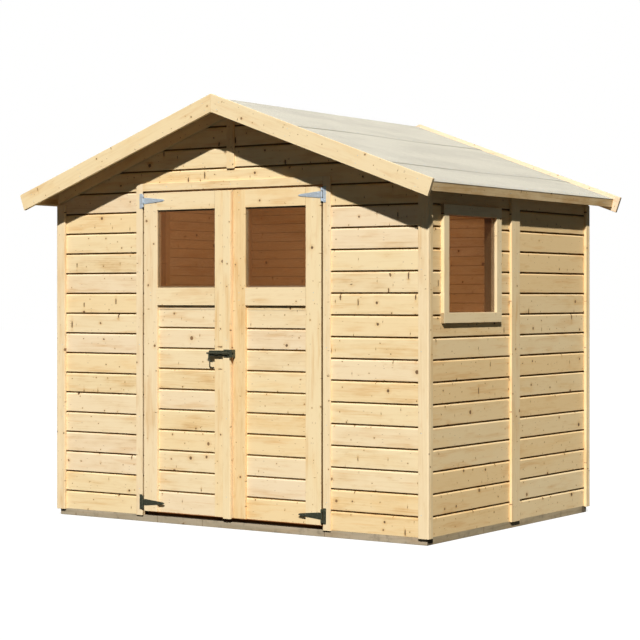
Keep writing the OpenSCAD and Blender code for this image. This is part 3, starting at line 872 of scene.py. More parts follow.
p = Piece("panel_battens")
lo, hi = box("wall_battens")
bwid, bt = 0.096, 0.016
side_top = RIDGE - (T_LOW) / CP - TP * (FX + bt) - 0.0041
for sx in (-1, 1):
    x0, x1 = sorted((sx * FX, sx * (FX + bt)))
    plank(p, (x0, MID_Y - bwid / 2, lo[2]), (x1, MID_Y + bwid / 2, side_top), "z", r=0.0026, shade=tone(light=0.1, warm=0.1, spread=0.4))
    for z in np.arange(lo[2] + 0.12, side_top - 0.05, 0.42):
        for dy in (-0.034, 0.034):
            nail(p, (sx * (FX + bt), MID_Y + dy, z), (sx, 0, 0))
T_RAKE = 0.097
rear_top = RIDGE - T_RAKE / CP - TP * bwid / 2 - 0.003
plank(p, (-bwid / 2, RY, lo[2]), (bwid / 2, RY + bt, rear_top), "z", r=0.0026)
for z in np.arange(lo[2] + 0.12, rear_top - 0.05, 0.42):
    for dx in (-0.034, 0.034):
        nail(p, (dx, RY + bt, z), REAR)
rake_cut = [(TOP + IN[s] * (T_RAKE + 0.003 * CP), -IN[s]) for s in (1, -1)]
bar(p, rrect(-0.025, 0.025, -0.0055, 0.0055, 0.0024), np.array((-0.002, FY - 0.0055, 0)), UP, EX, EY, 1.978, 2.30, cuts=rake_cut, shade=tone(warm=0.25, spread=0.2))
nail(p, (-0.002, FY - 0.011, 2.02), FRONT)
p.make("shed", [planed, zinc], ["wall_battens"])

lo, hi = box("door_casings")
cw = hi[0] - box("head_casing")[1][0]
p = Piece("door_side_casings")
for x0 in (lo[0], hi[0] - cw):
    # painted shade on the casings' inner edges, for the dark gaps beside the leaves
    plank(p, (x0, lo[1], lo[2]), (x0 + cw, hi[1], hi[2]), "z", r=0.0024, shade=tone(light=0.15, spread=0.5), deep=edge_shade("x", x0 + cw if x0 < 0 else x0, 0.8))
    for z in np.arange(lo[2] + 0.15, hi[2] - 0.05, 0.41):
        nail(p, (x0 + cw / 2, lo[1], z), FRONT)
p.make("shed", [planed, zinc], ["door_casings"])
lo, hi = box("head_casing")
p = Piece("door_head_casing")
# painted shade on the head casing's lower face, over the gap above the leaves
plank(p, lo, hi, "x", r=0.0024, e=0.0005, shade=tone(light=0.15, spread=0.3), deep=edge_shade("z", lo[2], 0.9))
for x in (-0.45, 0.0, 0.45):
    nail(p, (x, lo[1], (lo[2] + hi[2]) / 2), FRONT)
p.make("shed", [planed, zinc], ["head_casing"])

# ---------------------------------------------------------------- inner frame
ps = 0.045
IX, IFY, IRY = FX - T, FY + T, RY - T
pl, ph = box("wall_posts")
p = Piece("inner_posts")
for sx in (-1, 1):
    x0, x1 = sorted((sx * IX, sx * (IX - ps)))
    for y0, y1 in ((IFY, IFY + ps), (IRY - ps, IRY), (MID_Y - ps / 2, MID_Y + ps / 2)):
        plank(p, (x0, y0, pl[2]), (x1, y1, 1.850), "z", r=0.0025)
plank(p, (-ps / 2, IRY - ps, pl[2]), (ps / 2, IRY, 1.850), "z", r=0.0025)
# painted shade and painted light: the posts beside the side window are darkened where the sun through the pane meets
# them, and toned warm like the lamp-lit room
for y0, y1, at in ((gl[1] - ps, gl[1], gl[1]), (gh[1], gh[1] + ps, gh[1])):
    plank(p, (IX - ps, y0, pl[2]), (IX, y1, 1.850), "z", r=0.0025, shade=(-0.6, 1.0, -2.0), deep=edge_shade("y", at, 0.70))
p.make("shed", [sawn], ["wall_posts"])

p = Piece("inner_door_posts")
hl, hh = box("head_casing")
DL, DR = hl[0], hh[0]
post_top = HEAD_Z - 0.018
for edge, s in ((DL, 1), (DR, -1)):
    outline = [(-ps, 0.0), (-0.0015, 0.0), (-0.0015, 0.008), (0.0165, 0.008), (0.0165, ps - 0.002), (0.0145, ps), (-ps + 0.002, ps), (-ps, ps - 0.002)]
    if s < 0:
        outline = [(-a, b) for a, b in outline][::-1]
    bar(p, outline, np.array((edge, IFY, 0)), UP, EX, EY, pl[2], post_top)
p.make("shed", [sawn], ["door_posts"])

p = Piece("inner_eave_plates")
lo, hi = box("eave_plates")
for sx in (-1, 1):
    x0, x1 = sorted((sx * IX, sx * (IX - ps)))
    plank(p, (x0, IFY, 1.850), (x1, IRY, 1.93), "y", r=0.002, cuts=under_cuts(), e=0.0)
p.make("shed", [sawn], ["eave_plates"])
p = Piece("inner_door_lintel")
lo, hi = box("door_lintel")
outline = [(IFY, HEAD_Z + 0.0015), (IFY + 0.008, HEAD_Z + 0.0015), (IFY + 0.008, HEAD_Z - 0.018), (IFY + ps, HEAD_Z - 0.018),
           (IFY + ps, HEAD_Z + 0.060), (IFY + ps - 0.002, HEAD_Z + 0.062), (IFY, HEAD_Z + 0.062)]
bar(p, outline, np.zeros(3), EX, EY, UP, lo[0], hi[0])
p.make("shed", [sawn], ["door_lintel"])
p = Piece("inner_window_trimmers")
lo, hi = box("window_trimmers")
# painted shade on the trimmers' faces at the window opening
plank(p, lo, (hi[0], hi[1], lo[2] + ps), "y", r=0.0025, e=0.0, deep=edge_shade("z", lo[2] + ps, 0.35))
plank(p, (lo[0], lo[1], hi[2] - ps), hi, "y", r=0.0025, e=0.0, deep=edge_shade("z", hi[2] - ps, 0.35))
p.make("shed", [sawn], ["window_trimmers"])
p = Piece("roof_purlins")
lo, hi = box("purlins")
plank(p, (-0.0225, IFY, RIDGE - T_LOW / CP - 0.095), (0.0225, IRY, RIDGE), "y", r=0.0025, cuts=under_cuts(), e=0.0)
for sx in (-1, 1):
    at = TOP + DOWN[sx] * 0.7725 + IN[sx] * (T_LOW + 0.030)
    bar(p, rrect(-0.030, 0.030, -0.0225, 0.0225, 0.0025), at + EY * (IFY + IRY) / 2, EY, IN[sx], DOWN[sx], -(IRY - IFY) / 2, (IRY - IFY) / 2, e=0.0)
p.make("shed", [sawn], ["purlins"])

# ---------------------------------------------------------------- roof
ry0, ry1 = box("roof_deck_right")[0][1], box("roof_deck_right")[1][1]
fas_lo, fas_hi = box("eave_fascias")
# the eave boards' outer face along the slope, from the lower corner of their box
S_EAVE = (fas_hi[0] + T_DECK * SP) / CP
barge_hi = box("front_bargeboards")[1]
S_BARGE = barge_hi[0] / CP
FASCIA_H, BARGE_T = 0.049, 0.018
for sx, node, name in ((-1, "roof_deck_left", "roof_boards_left"), (1, "roof_deck_right", "roof_boards_right")):
    p = Piece(name)
    s_end = S_EAVE - BARGE_T - 0.0001
    n = 15
    w = s_end / n
    ridge_plane = [((0, 0, 0), (-sx, 0, 0))]
    for k in range(n):
        s0, s1 = k * w, (k + 1) * w
        b0 = -0.02 if k == 0 else s0
        outline = [(b0, T_DECK + 0.0001), (s1, T_DECK + 0.0001), (s1, T_LOW - 0.0028), (s1 - 0.0028, T_LOW), (b0 + (0 if k == 0 else 0.0028), T_LOW), (b0, T_LOW - (0 if k == 0 else 0.0028))]
        if k == 0:
            outline = [(b0, T_DECK + 0.0001), (s1, T_DECK + 0.0001), (s1, T_LOW - 0.0028), (s1 - 0.0028, T_LOW), (b0, T_LOW)]
        bar(p, outline, TOP, EY, DOWN[sx], IN[sx], ry0, ry1, cuts=ridge_plane if k == 0 else (), e=0.0)
    p.make("shed", [sawn], [node])

p = Piece("eave_boards")
for sx in (-1, 1):
    t_mid = T_DECK + FASCIA_H / 2
    outline = round_outline([(T_DECK, S_EAVE - BARGE_T), (T_DECK, S_EAVE), (T_DECK + FASCIA_H, S_EAVE + 0.008), (T_DECK + FASCIA_H, S_EAVE - BARGE_T)], 0.0022)
    bar(p, outline, TOP, EY, IN[sx], DOWN[sx], ry0, ry1, e=0.0, shade=(-2.6, 0.30, 0.6))
    for y in np.arange(ry0 + 0.12, ry1, 0.385):
        nail(p, TOP + DOWN[sx] * (S_EAVE + 0.004) + IN[sx] * t_mid + EY * y, DOWN[sx])
p.make("shed", [planed, zinc], ["eave_fascias"])

BARGE_H = 0.094
for node, name, out in (("front_bargeboards", "front_barge_boards", FRONT), ("rear_bargeboards", "rear_barge_boards", REAR)):
    p = Piece(name)
    lo, hi = box(node)
    for sx in (-1, 1):
        mid = TOP + IN[sx] * (BARGE_H / 2) + EY * ((lo[1] + hi[1]) / 2)
        mitre = [((sx * 0.0005, 0, 0), (-sx, 0, 0))]
        # the rear boards get a paler, cooler tone: painted light, for their washed-out sunlit look
        bar(p, rrect(-BARGE_H / 2, BARGE_H / 2, -BARGE_T / 2, BARGE_T / 2, 0.0024), mid, DOWN[sx], IN[sx], EY, -0.06, S_BARGE, cuts=mitre,
            shade=tone(light=0.2, warm=0.05, knots=2.0, spread=0.3) if out[1] < 0 else (1.8, -1.0, 1.0))
        face = lo[1] if out[1] < 0 else hi[1]
        for s in (0.07, 0.55, 1.02, 1.40):
            for t in (0.028, 0.070):
                nail(p, TOP + DOWN[sx] * s + IN[sx] * t + EY * face, out, r=0.0022)
    p.make("shed", [planed, zinc], [node])

p = Piece("rake_boards")
lo, hi = box("rake_battens")
for y0, y1 in ((lo[1], FY), (RY, hi[1])):
    for sx in (-1, 1):
        mid = TOP + IN[sx] * ((T_LOW + T_RAKE) / 2) + EY * ((y0 + y1) / 2)
        h = (T_RAKE - T_LOW) / 2
        cuts = [((sx * 0.0005, 0, 0), (-sx, 0, 0)), ((sx * FX, 0, 0), (sx, 0, 0))]
        bar(p, rrect(-h + 0.0001, h, -0.010, 0.010, 0.0022), mid, DOWN[sx], IN[sx], EY, -0.06, 1.45, cuts=cuts, e=0.0, shade=tone(light=0.3, warm=0.2, spread=0.4))
p.make("shed", [planed], ["rake_battens"])


def waves(seed, count, s_len, y_len):
    r = random.Random(seed)
    return [(r.uniform(-1, 1), r.uniform(0.4, 1.0) * 2 * math.pi / s_len, r.uniform(0.4, 1.0) * 2 * math.pi / y_len, r.uniform(0, 6.28), r.uniform(0.4, 1.0)) for _ in range(count)]


LAPS = (0.500, 1.140)
for sx, node, name in ((-1, "roof_felt_left", "felt_left"), (1, "roof_felt_right", "felt_right")):
    # every lower sheet lies under the next one up; the surface is a height over the roof boards
    big, small = waves(5 + sx, 7, 0.9, 1.3), waves(11 + sx, 9, 0.16, 0.9)
    s_end = S_EAVE + 0.002
    rows = sorted(set([round(x, 5) for x in np.linspace(0.0, s_end - 0.012, 76)] + [x for L in LAPS for x in (L - 0.030, L - 0.018, L - 0.010, L - 0.004, L - 0.001, L + 0.0012, L + 0.003, L + 0.007, L + 0.014, L + 0.026)] + [s_end - 0.012, s_end - 0.006, s_end - 0.003, s_end - 0.001, s_end]))
    rows = np.array(rows)
    cols = np.linspace(ry0 + 0.0008, ry1 - 0.0008, 92)
    S, Y = np.meshgrid(rows, cols, indexing="ij")
    # the laps wander a little along their length
    wander = [0.004 * np.sin(2.1 * cols + 1.3) + 0.0025 * np.sin(5.3 * cols + 0.4 * sx), 0.005 * np.sin(1.7 * cols + 4.0) + 0.002 * np.sin(6.1 * cols)]
    for L, wnd in zip(LAPS, wander):
        near = np.clip(1 - np.abs(S - L) / 0.12, 0, 1)
        S = S + near * wnd[None, :]
    base_s = np.meshgrid(rows, cols, indexing="ij")[0]
    h = np.zeros_like(S)
    for a, ks, ky, ph_, wgt in big:
        h += 0.0011 * wgt * np.sin(a * ks * S + ky * Y + ph_)
    for a, ks, ky, ph_, wgt in small:
        h += 0.00035 * wgt * np.sin(ks * S + a * ky * Y + ph_)
    thickness = 0.0016 + np.where(base_s < LAPS[1], 0.0016, 0.0) + np.where(base_s < LAPS[0], 0.0016, 0.0)
    lift = np.zeros_like(S)
    for L in LAPS:
        over = np.clip((base_s - (L - 0.11)) / 0.11, 0, 1) * (base_s < L)
        lift += 0.0018 * over ** 2 * (0.6 + 0.4 * np.sin(3.4 * Y + 9 * L))
        # the sheet bridges the step below the lap and sinks into it
        lift += 0.0012 * np.exp(-((base_s - (L + 0.12)) / 0.06) ** 2) * (1 + np.sin(2.3 * Y + L))
    keep = np.minimum(1, np.minimum((Y - cols[0]) / 0.03, (cols[-1] - Y) / 0.03)) * np.clip(base_s / 0.02, 0, 1) * np.clip((s_end - base_s) / 0.02, 0, 1)
    height = thickness + np.maximum(0, 0.0022 + h) * keep + lift * np.clip(keep + 0.2, 0, 1)
    T_ = T_DECK - height
    # round over the eave edge
    edge = base_s > s_end - 0.0035
    T_ = np.where(edge, T_DECK - 0.0016 + 0.0018 * ((base_s - (s_end - 0.0035)) / 0.0035) ** 2, T_)
    verts = (TOP[None, None, :] + S[..., None] * DOWN[sx] + T_[..., None] * IN[sx] + Y[..., None] * EY)
    verts[0, :, 0] = 0.0
    nr, nc = S.shape
    flat = verts.reshape(-1, 3)
    faces = [(i * nc + j, (i + 1) * nc + j, (i + 1) * nc + j + 1, i * nc + j + 1) for i in range(nr - 1) for j in range(nc - 1)]
    ring = [j for j in range(nc)] + [i * nc + nc - 1 for i in range(1, nr)] + [(nr - 1) * nc + j for j in range(nc - 2, -1, -1)] + [i * nc for i in range(nr - 2, 0, -1)]
    low = len(flat)
    bottom = []
    for i in ring:
        s_, y_ = S.reshape(-1)[i], Y.reshape(-1)[i]
        q = TOP + DOWN[sx] * s_ + IN[sx] * T_DECK + EY * y_
        if i < nc:
            q[0] = 0.0
        bottom.append(q)
    allv = np.concatenate([flat, np.array(bottom)])
    m_ = len(ring)
    faces += [(ring[k], low + k, low + (k + 1) % m_, ring[(k + 1) % m_]) for k in range(m_)]
    faces.append(tuple(low + k for k in range(m_))[::-1])
    # orientation: the first face must look out of the roof
    q0, q1, q2 = (allv[i] for i in faces[0][:3])
    if np.dot(np.cross(q1 - q0, q2 - q0), -IN[sx]) < 0:
        faces = [f[::-1] for f in faces]
    p = Piece(name)
    g = np.concatenate([np.stack([S.reshape(-1), Y.reshape(-1), T_.reshape(-1)], 1), np.array([(S.reshape(-1)[i], Y.reshape(-1)[i], T_DECK) for i in ring])]) + np.array((3.1 * sx, 7.7, 0))
    p.add(allv, faces, g, (0, 0, 0))
    # a dark line just below each lap
    dark = np.zeros(len(allv))
    bs = base_s.reshape(-1)
    for L in LAPS:
        dark[: len(bs)] = np.maximum(dark[: len(bs)], np.where((bs > L - 0.0005) & (bs < L + 0.0045), 0.55, 0.0))
    p.t = [(0.0, float(x), 0.0) for x in dark]
    for s_n, pitch_n, mat in ((LAPS[0] - 0.022, 0.145, 1), (LAPS[1] - 0.022, 0.145, 1), (S_EAVE - 0.025, 0.09, 1)):
        for y in np.arange(ry0 + 0.04, ry1 - 0.02, pitch_n):
            i = int(np.argmin(np.abs(rows - s_n)))
            j = int(np.argmin(np.abs(cols - y)))
            at = verts[i, j]
            o = -IN[sx]
            lathe(p, at - o * 0.0012, o, [(0.0, 0.0048), (0.0017, 0.0048), (0.0021, 0.0040), (0.0023, 0.0)], 10, 1)
    p.make("shed", [felt, zinc], [node], angle=50.0)


# ---------------------------------------------------------------- door leaves
def leaf(side, body):
    pre = side + "_door_"
    sl, sh = box(pre + "stiles")
    rl, rh = box(pre + "rails")
    gl_, gh_ = box(pre + "glass")
    pl_, ph_ = box(pre + "panel")
    rail = rh[2] - gh_[2]
    p = Piece(side + "_leaf_stiles")
    orange = side == "right"
    # the outer and the meeting stile
    looks = [tone(light=0.2, knots=0.9, spread=0.5), tone(light=0.15, knots=0.9, spread=0.4)]
    if orange:
        looks[0] = (-0.60, 0.66, 2.2)
    # painted shade on the leaves' outer edges, for the dark gaps beside the casings
    plank(p, sl, (rl[0], sh[1], sh[2]), "z", r=0.0022, shade=looks[0], deep=edge_shade("x", sl[0], 0.95) if side == "left" else None)
    plank(p, (rh[0], sl[1], sl[2]), sh, "z", r=0.0022, shade=looks[1], deep=edge_shade("x", sh[0], 0.95) if side == "right" else None)
    for x in ((sl[0] + rl[0]) / 2, (rh[0] + sh[0]) / 2):
        for z in (rl[2] + 0.03, rl[2] + 0.07, rh[2] - 0.07, rh[2] - 0.03):
            nail(p, (x, sl[1], z), FRONT, r=0.0022)
    p.make(body, [planed, zinc], [pre + "stiles"])
    p = Piece(side + "_leaf_rails")
    for z0 in (rl[2], rh[2] - rail):
        plank(p, (rl[0], rl[1], z0), (rh[0], rh[1], z0 + rail), "x", r=0.0022, e=0.0004, shade=tone(light=0.3, spread=0.5))
    # beads that hold the pane, on the inside
    b = 0.009
    gy = gh_[1]
    back = rh[1] - 0.0005
    for lo_, hi_, ax in (((gl_[0], gy, gl_[2]), (gh_[0], back, gl_[2] + b), "x"), ((gl_[0], gy, gh_[2] - b), (gh_[0], back, gh_[2]), "x"),
                         ((gl_[0], gy, gl_[2] + b), (gl_[0] + b, back, gh_[2] - b), "z"), ((gh_[0] - b, gy, gl_[2] + b), (gh_[0], back, gh_[2] - b), "z")):
        plank(p, lo_, hi_, ax, r=0.003, e=0.0)
    p.make(body, [planed], [pre + "rails"])
    p = Piece(side + "_leaf_panel")
    # the lowest board ends in a plain edge, with no groove
    joint, thick = 0.1805, ph_[1] - pl_[1]
    where, shade = board_look((side + "leaf", "low"))
    low = clip_b(board_outline(pl_[2] - 0.0055, joint, thick, 0.0052), pl_[2], joint)
    bar(p, low, np.array((0, pl_[1], 0)), EX, UP, FRONT, pl_[0], ph_[0], (), e=0.0, shade=shade, grain=where, deep=groove_shade(thick, 0.0052))
    clad(p, side + "leaf", np.array((0, pl_[1], 0)), EX, FRONT, pl_[0], ph_[0], joint, joint + math.floor((ph_[2] - joint) / PITCH) * PITCH, thick=thick, first=joint, recess=0.0052)
    last = joint + math.floor((ph_[2] - joint) / PITCH) * PITCH
    where, shade = board_look((side + "leaf", "top"))
    bar(p, board_outline(last, ph_[2], thick, 0.0052, top_gap=0.0165), np.array((0, pl_[1], 0)), EX, UP, FRONT, pl_[0], ph_[0], (), e=0.0, shade=shade, grain=where, deep=groove_shade(thick, 0.0052))
    p.make(body, [spruce], [pre + "panel"])
    pane_piece(side + "_leaf_pane", pre + "glass", body)


leaf("left", "left_door")
leaf("right", "right_door")
lo, hi = box("left_door_astragal")
p = Piece("left_leaf_cover_strip")
plank(p, lo, hi, "z", radii=[0.0022, 0.0022, 0.0022, 0.0022], shade=(0.75, 0.0, -0.6))
for z in np.arange(lo[2] + 0.12, hi[2] - 0.05, 0.43):
    nail(p, ((lo[0] + hi[0]) / 2, lo[1], z), FRONT, r=0.0022)
p.make("left_door", [planed, zinc], ["left_door_astragal"])

# ---------------------------------------------------------------- hinges
sl, sh = box("left_door_straps")
KR, PR = 0.0055, 0.0025
HY = sh[1] - KR
HZ = (sl[2] + 0.018, sh[2] - 0.018)
STRAP = sh[0] - sl[0] - KR


def knuckle(p, x, z, z0, z1, mat=0):
    e = 0.0008
    lathe(p, (x, HY, z + z0), UP, [(0, PR + 0.0002), (0, KR - e), (e * 0.3, KR - e * 0.3), (e, KR), (z1 - z0 - e, KR), (z1 - z0 - e * 0.3, KR - e * 0.3), (z1 - z0, KR - e), (z1 - z0, PR + 0.0002)], 24, mat)


def t_strap(p, hx, hz, d, mat):
    knuckle(p, hx, hz, -0.015, 0.015, mat)
    outline = [(0.0008, -0.015), (0.014, -0.018), (STRAP - 0.010, -0.0062), (STRAP, -0.0018), (STRAP, 0.0018), (STRAP - 0.010, 0.0062), (0.014, 0.018), (0.0008, 0.015)]
    outline = round_outline(outline, [0.001, 0.008, 0.006, 0.0025, 0.0025, 0.006, 0.008, 0.001])
    plate2d(p, outline, np.array((hx, HY + KR, hz)), EX * d, UP, FRONT, 0.003, 0.0007, mat)
    for k, (a, b) in enumerate(((0.026, 0.0085), (0.026, -0.0085), (0.072, 0.0), (0.108, 0.0), (0.138, 0.0))):
        screw(p, (hx + d * a, HY + KR - 0.003, hz + b), FRONT, 0.0034, mat, turn=0.7 * k + hz)


for side, body, hx, d in (("left", "left_door", sl[0] + KR, 1), ("right", "right_door", box("right_door_straps")[1][0] - KR, -1)):
    p = Piece(side + "_leaf_hinge_straps")
    for hz, mat in ((HZ[1], 0), (HZ[0], 1)):
        t_strap(p, hx, hz, d, mat)
    p.make(body, [zinc, dull], [side + "_door_straps"])
p = Piece("hinge_frame_plates")
for hx, d in ((sl[0] + KR, 1), (box("right_door_straps")[1][0] - KR, -1)):
    for hz, mat in ((HZ[1], 0), (HZ[0], 1)):
        w0, w1 = -0.026, -KR - 0.0015
        outline = round_outline([(w0, -0.0425), (w1, -0.0425), (w1, 0.0425), (w0, 0.0425)], 0.003)
        plate2d(p, outline, np.array((hx, HY + KR, hz)), EX * d, UP, FRONT, 0.003, 0.0007, mat)
        for k in (-1, 1):
            zc = hz + k * 0.028
            plate2d(p, [(w1 - 0.002, -0.008), (-0.0005, -0.008), (-0.0005, 0.008), (w1 - 0.002, 0.008)], np.array((hx, HY + KR, zc)), EX * d, UP, FRONT, 0.0028, 0.0005, mat)
            knuckle(p, hx, hz, *sorted((k * 0.020, k * 0.036)), mat=mat)
            screw(p, (hx + d * (w0 + w1) / 2, HY + KR - 0.003, hz + k * 0.031), FRONT, 0.0034, mat, turn=0.4 * k)
        screw(p, (hx + d * (w0 + w1) / 2, HY + KR - 0.003, hz), FRONT, 0.0034, mat, turn=1.1)
        lathe(p, (hx, HY, hz - 0.036), UP, [(-0.0002, 0.0), (0.0, PR), (0.072, PR), (0.0722, 0.0)], 20, mat)
        for k in (-1, 1):
            lathe(p, (hx, HY, hz + k * 0.0358), UP * k, [(0.0, KR - 0.0012), (0.0002, KR - 0.0014), (0.0002, 0.0)], 20, mat)
p.make("shed", [zinc, dull], ["hinge_plates"])

# ---------------------------------------------------------------- bolt
lo, hi = box("bolt_plate")
rl_, rh_ = box("bolt_rod")
BR = 0.005
BY, BZ = rl_[1] + BR, (lo[2] + hi[2]) / 2
plate_y = box("left_door_astragal")[0][1]       # face of the cover strip
p = Piece("bolt_back_plate")
STEP_X = -0.035
outline = round_outline([(lo[0], BZ - 0.016), (STEP_X, BZ - 0.016), (STEP_X, BZ - 0.022), (hi[0], BZ - 0.022), (hi[0], BZ + 0.022), (STEP_X, BZ + 0.022),
                         (STEP_X, BZ + 0.016), (lo[0], BZ + 0.016)], [0.005, 0.001, 0.003, 0.003, 0.003, 0.003, 0.001, 0.005])
plate2d(p, outline, np.array((0, plate_y, 0)), EX, UP, FRONT, 0.003, 0.0007)
plank(p, (-0.109, plate_y, BZ - 0.015), (-0.049, hi[1], BZ + 0.015), "x", r=0.0012)
for x0, x1 in ((-0.085, -0.071), (-0.035, 0.001)):
    # a guide: a steel band bent over the rod, with two small feet
    ri, ro = BR + 0.0003, BR + 0.0028
    lo_y = -(plate_y - 0.003 - BY)
    arc = [(ro * math.cos(math.pi * k / 12), ro * math.sin(math.pi * k / 12)) for k in range(13)]
    inner = [(ri * math.cos(math.pi * k / 12), ri * math.sin(math.pi * k / 12)) for k in range(12, -1, -1)]
    shape = [(0.009, lo_y), (0.009, lo_y + 0.0018), (ro + 0.0002, lo_y + 0.0018)] + arc + [(-ro - 0.0002, lo_y + 0.0018), (-0.009, lo_y + 0.0018), (-0.009, lo_y), (-ri, lo_y)] + inner + [(ri, lo_y)]
    bar(p, shape, np.array((x0, BY, BZ)), EX, UP, FRONT, 0.0, x1 - x0, e=0.0, shade=(0, 0, 0))
for x, dz in ((-0.098, 0.0105), (-0.098, -0.0105), (-0.056, 0.0105), (-0.056, -0.0105), (-0.026, 0.0160), (-0.026, -0.0160), (-0.004, 0.0160), (-0.004, -0.0160)):
    screw(p, (x, plate_y - 0.003, BZ + dz), FRONT, 0.0032, 0, turn=x * 40 + dz * 300)
p.make("left_door", [dull], ["bolt_plate"])


def tube(p, points, radii, seg=16):
    """A round bar bent along points; the ends are domed."""
    pts = np.array(points, float)
    tangents = np.gradient(pts, axis=0)
    tangents /= np.linalg.norm(tangents, axis=1, keepdims=True)
    side = np.array((0, 1.0, 0))
    verts, rows = [], []
    for q, tg, r in zip(pts, tangents, radii):
        w = np.cross(tg, side)
        w /= np.linalg.norm(w)
        rows.append(list(range(len(verts), len(verts) + seg)))
        for k in range(seg):
            a = 2 * math.pi * k / seg
            verts.append(q + r * (side * math.cos(a) + w * math.sin(a)))
    faces = []
    for r0, r1 in zip(rows, rows[1:]):
        for k in range(seg):
            j = (k + 1) % seg
            faces.append((r0[k], r1[k], r1[j], r0[j]))
    faces.append(tuple(rows[0]))
    faces.append(tuple(rows[-1][::-1]))
    verts = np.array(verts)
    p.add(verts, faces, verts - pts[0] + offset(), (0, 0, 0))


p = Piece("bolt_sliding_rod")
x0, x1 = rl_[0], rh_[0]
lathe(p, (x0, BY, BZ), EX, [(0, 0.0), (0, BR - 0.001), (0.001, BR), (x1 - x0 - 0.003, BR), (x1 - x0 - 0.001, BR - 0.0012), (x1 - x0, BR - 0.003), (x1 - x0, 0)], 24)
hx = rl_[0] + 0.015
# the handle: a bar bent down from the rod and hooked to the right
path, radii = [], []
for z in np.linspace(0.0, -0.036, 7):
    path.append((hx, BY, BZ + z))
    radii.append(0.004)
for k in range(1, 10):
    a = math.pi / 2 * k / 9
    path.append((hx + 0.0095 * (1 - math.cos(a)), BY, BZ - 0.036 - 0.0095 * math.sin(a)))
    radii.append(0.004)
for x, r in ((0.014, 0.0038), (0.020, 0.0036), (0.026, 0.0036), (0.0285, 0.0034), (0.0296, 0.0026), (0.030, 0.0012)):
    path.append((hx + x, BY, BZ - 0.0455))
    radii.append(r)
tube(p, path, radii)
p.make("bolt", [dull], ["bolt_rod"])

lo, hi = box("bolt_keeper")
p = Piece("bolt_keeper_band")
h = (hi[2] - lo[2]) / 2
zc = (hi[2] + lo[2]) / 2
slot_h, y_in0, y_in1 = BR + 0.0015, BY - BR - 0.0015, BY + BR + 0.0015
# section in (z, y) of a block with a square slot, run along x
o2 = round_outline([(-h, hi[1]), (h, hi[1]), (h, lo[1]), (-h, lo[1])], [0.0008, 0.0008, 0.004, 0.004])
outer_top = [(a, b - BY) for a, b in o2]


def slotted(p, x0, x1):
    """The keeper: a bent band round a square slot, closed at the back."""
    a0, a1 = -slot_h, slot_h
    b0, b1 = y_in0 - BY, y_in1 - BY
    out_lo, out_hi = lo[1] - BY, hi[1] - BY
    parts = [((-h, a0), (out_lo, out_hi)), ((a1, h), (out_lo, out_hi)), ((a0, a1), (out_lo, b0)), ((a0, a1), (b1, out_hi))]
    for (z0, z1), (c0, c1) in parts:
        edge = 0.0014 if z0 == -h or z1 == h else 0.0
        rs = [0, 0, 0, 0]
        if z0 == -h:
            rs = [0.003, 0, 0, 0.0006]
        if z1 == h:
            rs = [0, 0.003, 0.0006, 0]
        bar(p, rrect(z0, z1, c0, c1, rs, 4), np.array((0, BY, zc)), EX, UP, EY, x0, x1, e=0.0, shade=(0, 0, 0))


slotted(p, lo[0], hi[0])
for dz in (-0.0135, 0.0135):
    screw(p, ((lo[0] + hi[0]) / 2, lo[1], zc + dz), FRONT, 0.0032, 0, turn=dz * 90)
p.make("right_door", [dull], ["bolt_keeper"])

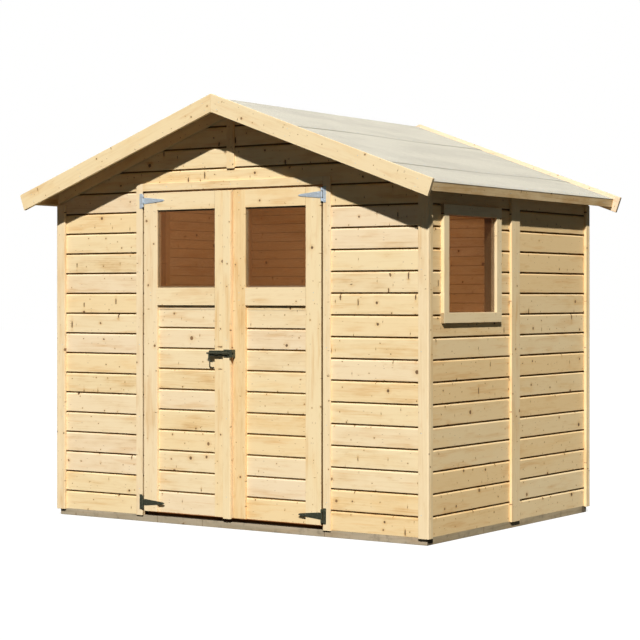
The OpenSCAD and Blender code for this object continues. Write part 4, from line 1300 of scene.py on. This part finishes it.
# ---------------------------------------------------------------- stage and light
floor_me = bpy.data.meshes.new("studio_floor")
R = 60.0
ring = [(R * math.cos(2 * math.pi * k / 64), R * math.sin(2 * math.pi * k / 64), -0.0005) for k in range(64)]
floor_me.from_pydata(ring, [], [tuple(range(64))])
floor = bpy.data.objects.new("studio_floor", floor_me)
scene.collection.objects.link(floor)
fm = bpy.data.materials.new("studio_floor")
fm.use_nodes = True
nt = fm.node_tree
nt.nodes.clear()
out = nt.nodes.new("ShaderNodeOutputMaterial")
add = nt.nodes.new("ShaderNodeAddShader")
dif = nt.nodes.new("ShaderNodeBsdfDiffuse")
emi = nt.nodes.new("ShaderNodeEmission")
dif.inputs[0].default_value = (0.26, 0.26, 0.258, 1)
emi.inputs[0].default_value = (1.0, 1.0, 0.995, 1)
emi.inputs[1].default_value = 0.80
nt.links.new(dif.outputs[0], add.inputs[0])
nt.links.new(emi.outputs[0], add.inputs[1])
nt.links.new(add.outputs[0], out.inputs[0])
floor_me.materials.append(fm)
floor.visible_diffuse = False
floor.visible_glossy = False
floor.visible_shadow = False
floor.visible_transmission = False


def sun(name, direction, strength, angle, colour):
    data = bpy.data.lights.new(name, "SUN")
    data.energy = strength
    data.angle = math.radians(angle)
    data.color = colour
    ob = bpy.data.objects.new(name, data)
    scene.collection.objects.link(ob)
    ob.rotation_euler = Vector(direction).to_track_quat("-Z", "Y").to_euler()
    return ob


sun("key_light", (-0.60, 1.0, -0.94), 4.62, 1.4, (1.0, 0.985, 0.955))
back = sun("back_light", (0.72, -0.62, -0.46), 2.3, 35.0, (0.98, 0.99, 1.0))
# the floor takes its light from the front only
only = bpy.data.collections.new("back_light_floor")
only.objects.link(floor)
back.light_linking.receiver_collection = only
only.collection_objects[0].light_linking.link_state = "EXCLUDE"
room = bpy.data.lights.new("room_light", "POINT")
room.energy = 14.0
room.color = (1.0, 0.66, 0.42)
room.shadow_soft_size = 0.25
room_ob = bpy.data.objects.new("room_light", room)
scene.collection.objects.link(room_ob)
room_ob.location = (0.1, -0.15, 1.15)

world = bpy.data.worlds.new("studio")
scene.world = world
world.use_nodes = True
nt = world.node_tree
nt.nodes.clear()
out = nt.nodes.new("ShaderNodeOutputWorld")
mixs = nt.nodes.new("ShaderNodeMixShader")
path = nt.nodes.new("ShaderNodeLightPath")
seen = nt.nodes.new("ShaderNodeBackground")
fill = nt.nodes.new("ShaderNodeBackground")
seen.inputs[0].default_value = (1.0, 1.0, 0.997, 1)
seen.inputs[1].default_value = 1.0
fill.inputs[0].default_value = (0.90, 0.98, 0.94, 1)
fill.inputs[1].default_value = 0.062
nt.links.new(path.outputs["Is Camera Ray"], mixs.inputs[0])
nt.links.new(fill.outputs[0], mixs.inputs[1])
nt.links.new(seen.outputs[0], mixs.inputs[2])
nt.links.new(mixs.outputs[0], out.inputs[0])

scene.view_settings.view_transform = "Standard"
